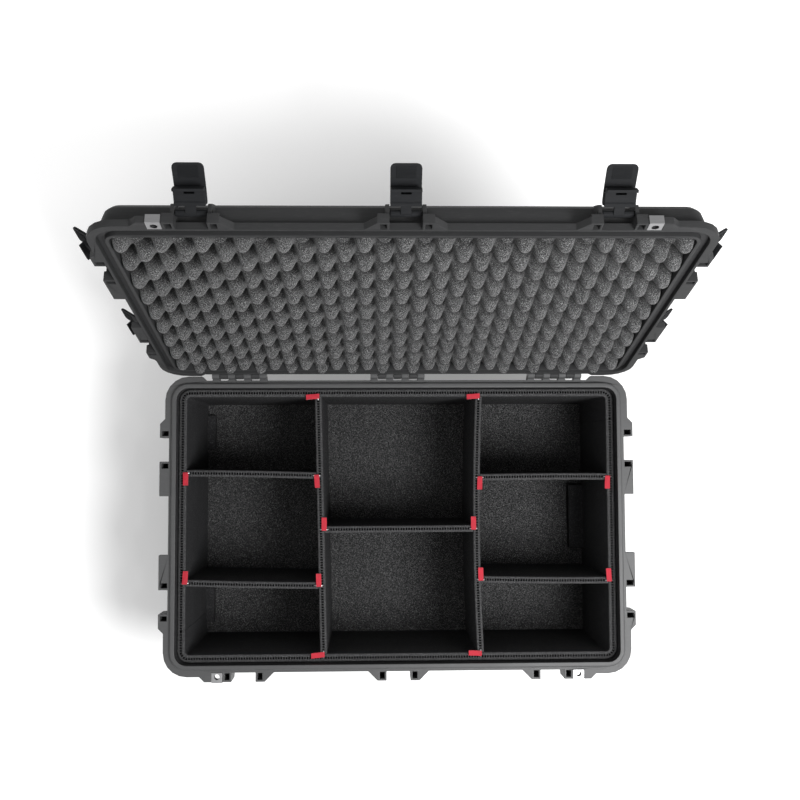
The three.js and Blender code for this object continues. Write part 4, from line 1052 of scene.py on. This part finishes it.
draw = random.Random(pinShape["seed"])
for number, (inner, towards, tag) in enumerate(pinPlaces(), start=1):
    outer = inner + towards * pinShape["span"]
    staple = wireStaple(f"pinWire_{number}", inner, outer, pinShape)
    dress(staple, f"divider_pin_{number}", "steel", finishes["steel"])
    ribbon = ribbonLoop(f"pullTag_{number}", (inner + outer) / 2, tag, pinShape, draw)
    dress(ribbon, f"divider_pin_{number}", "pull_tag", finishes["ribbon"])
print("pins and pull tags made")

# Floor, sky and lamps: a small lamp beside the camera and a soft one to each side of the case
studio = {
    "floorSide": 9.0,
    "floorDrop": 0.0005,
    "glowNear": 0.03,
    "glowFar": 0.40,
    "glowFrom": 0.50,
    "glowTo": 1.00,
    "floorTone": 0.85,
    "skyLight": 0.70,
    "aim": (0.0, 0.0, 0.2),
    "lamps": {  # place, width and power
        "cameraLamp": ((0.25, -0.18, 1.87), 0.08, 1.2),
        "rightSoftbox": ((0.80, -0.43, 1.78), 0.75, 45.0),
        "leftSoftbox": ((-1.00, -0.20, 1.20), 0.36, 2.0),
    },
}


# 1 for the named kinds of ray, so that the background is white and doesn't light the case
def seenBy(tree, *rays):
    path = tree.nodes.new("ShaderNodeLightPath")
    seen = path.outputs[rays[0]]
    for ray in rays[1:]:
        seen = mathNode(tree, "MAXIMUM", seen, path.outputs[ray])
    return seen


# The paper glows where it is seen, from glowFrom out to glowTo ever more, and so fades to white
def addFloor(v):
    bpy.ops.mesh.primitive_plane_add(size=v["floorSide"], location=(0, 0, -v["floorDrop"]))
    floor = bpy.context.object
    floor.name = "studioFloor"
    material = bpy.data.materials.new("studioFloorPaper")
    material.use_nodes = True
    tree = material.node_tree
    nodes, links = tree.nodes, tree.links
    nodes.clear()
    output = nodes.new("ShaderNodeOutputMaterial")
    paper = nodes.new("ShaderNodeBsdfDiffuse")
    paper.inputs["Color"].default_value = (v["floorTone"], v["floorTone"], v["floorTone"], 1)
    glow = nodes.new("ShaderNodeEmission")
    seen = seenBy(tree, "Is Camera Ray", "Is Glossy Ray", "Is Transmission Ray")
    coordinates = nodes.new("ShaderNodeTexCoord")
    distance = nodes.new("ShaderNodeVectorMath")
    distance.operation = "LENGTH"
    links.new(coordinates.outputs["Object"], distance.inputs[0])
    spread = nodes.new("ShaderNodeMapRange")
    spread.interpolation_type = "SMOOTHSTEP"
    spread.inputs["From Min"].default_value = v["glowFrom"]
    spread.inputs["From Max"].default_value = v["glowTo"]
    spread.inputs["To Min"].default_value = v["glowNear"]
    spread.inputs["To Max"].default_value = v["glowFar"]
    links.new(distance.outputs["Value"], spread.inputs["Value"])
    links.new(mathNode(tree, "MULTIPLY", seen, spread.outputs["Result"]), glow.inputs["Strength"])
    both = nodes.new("ShaderNodeAddShader")
    links.new(paper.outputs[0], both.inputs[0])
    links.new(glow.outputs[0], both.inputs[1])
    links.new(both.outputs[0], output.inputs["Surface"])
    floor.data.materials.append(material)


def addLamps(v):
    for name, (place, width, power) in v["lamps"].items():
        bpy.ops.object.light_add(type="AREA", location=place)
        lamp = bpy.context.object
        lamp.name = name
        lamp.data.shape = "DISK"
        lamp.data.size = width
        lamp.data.energy = power
        lamp.rotation_euler = (Vector(v["aim"]) - Vector(place)).to_track_quat("-Z", "Y").to_euler()


def addSky(v):
    world = bpy.data.worlds.new("studioSky")
    scene.world = world
    world.use_nodes = True
    tree = world.node_tree
    sky = tree.nodes["Background"]
    spreadValue(tree, seenBy(tree, "Is Camera Ray", "Is Transmission Ray"), v["skyLight"], 1.0,
                sky.inputs["Strength"])
    sky.inputs["Color"].default_value = (1, 1, 1, 1)


addFloor(studio)
addLamps(studio)
addSky(studio)
scene.view_settings.view_transform = "Standard"
print("studio set")
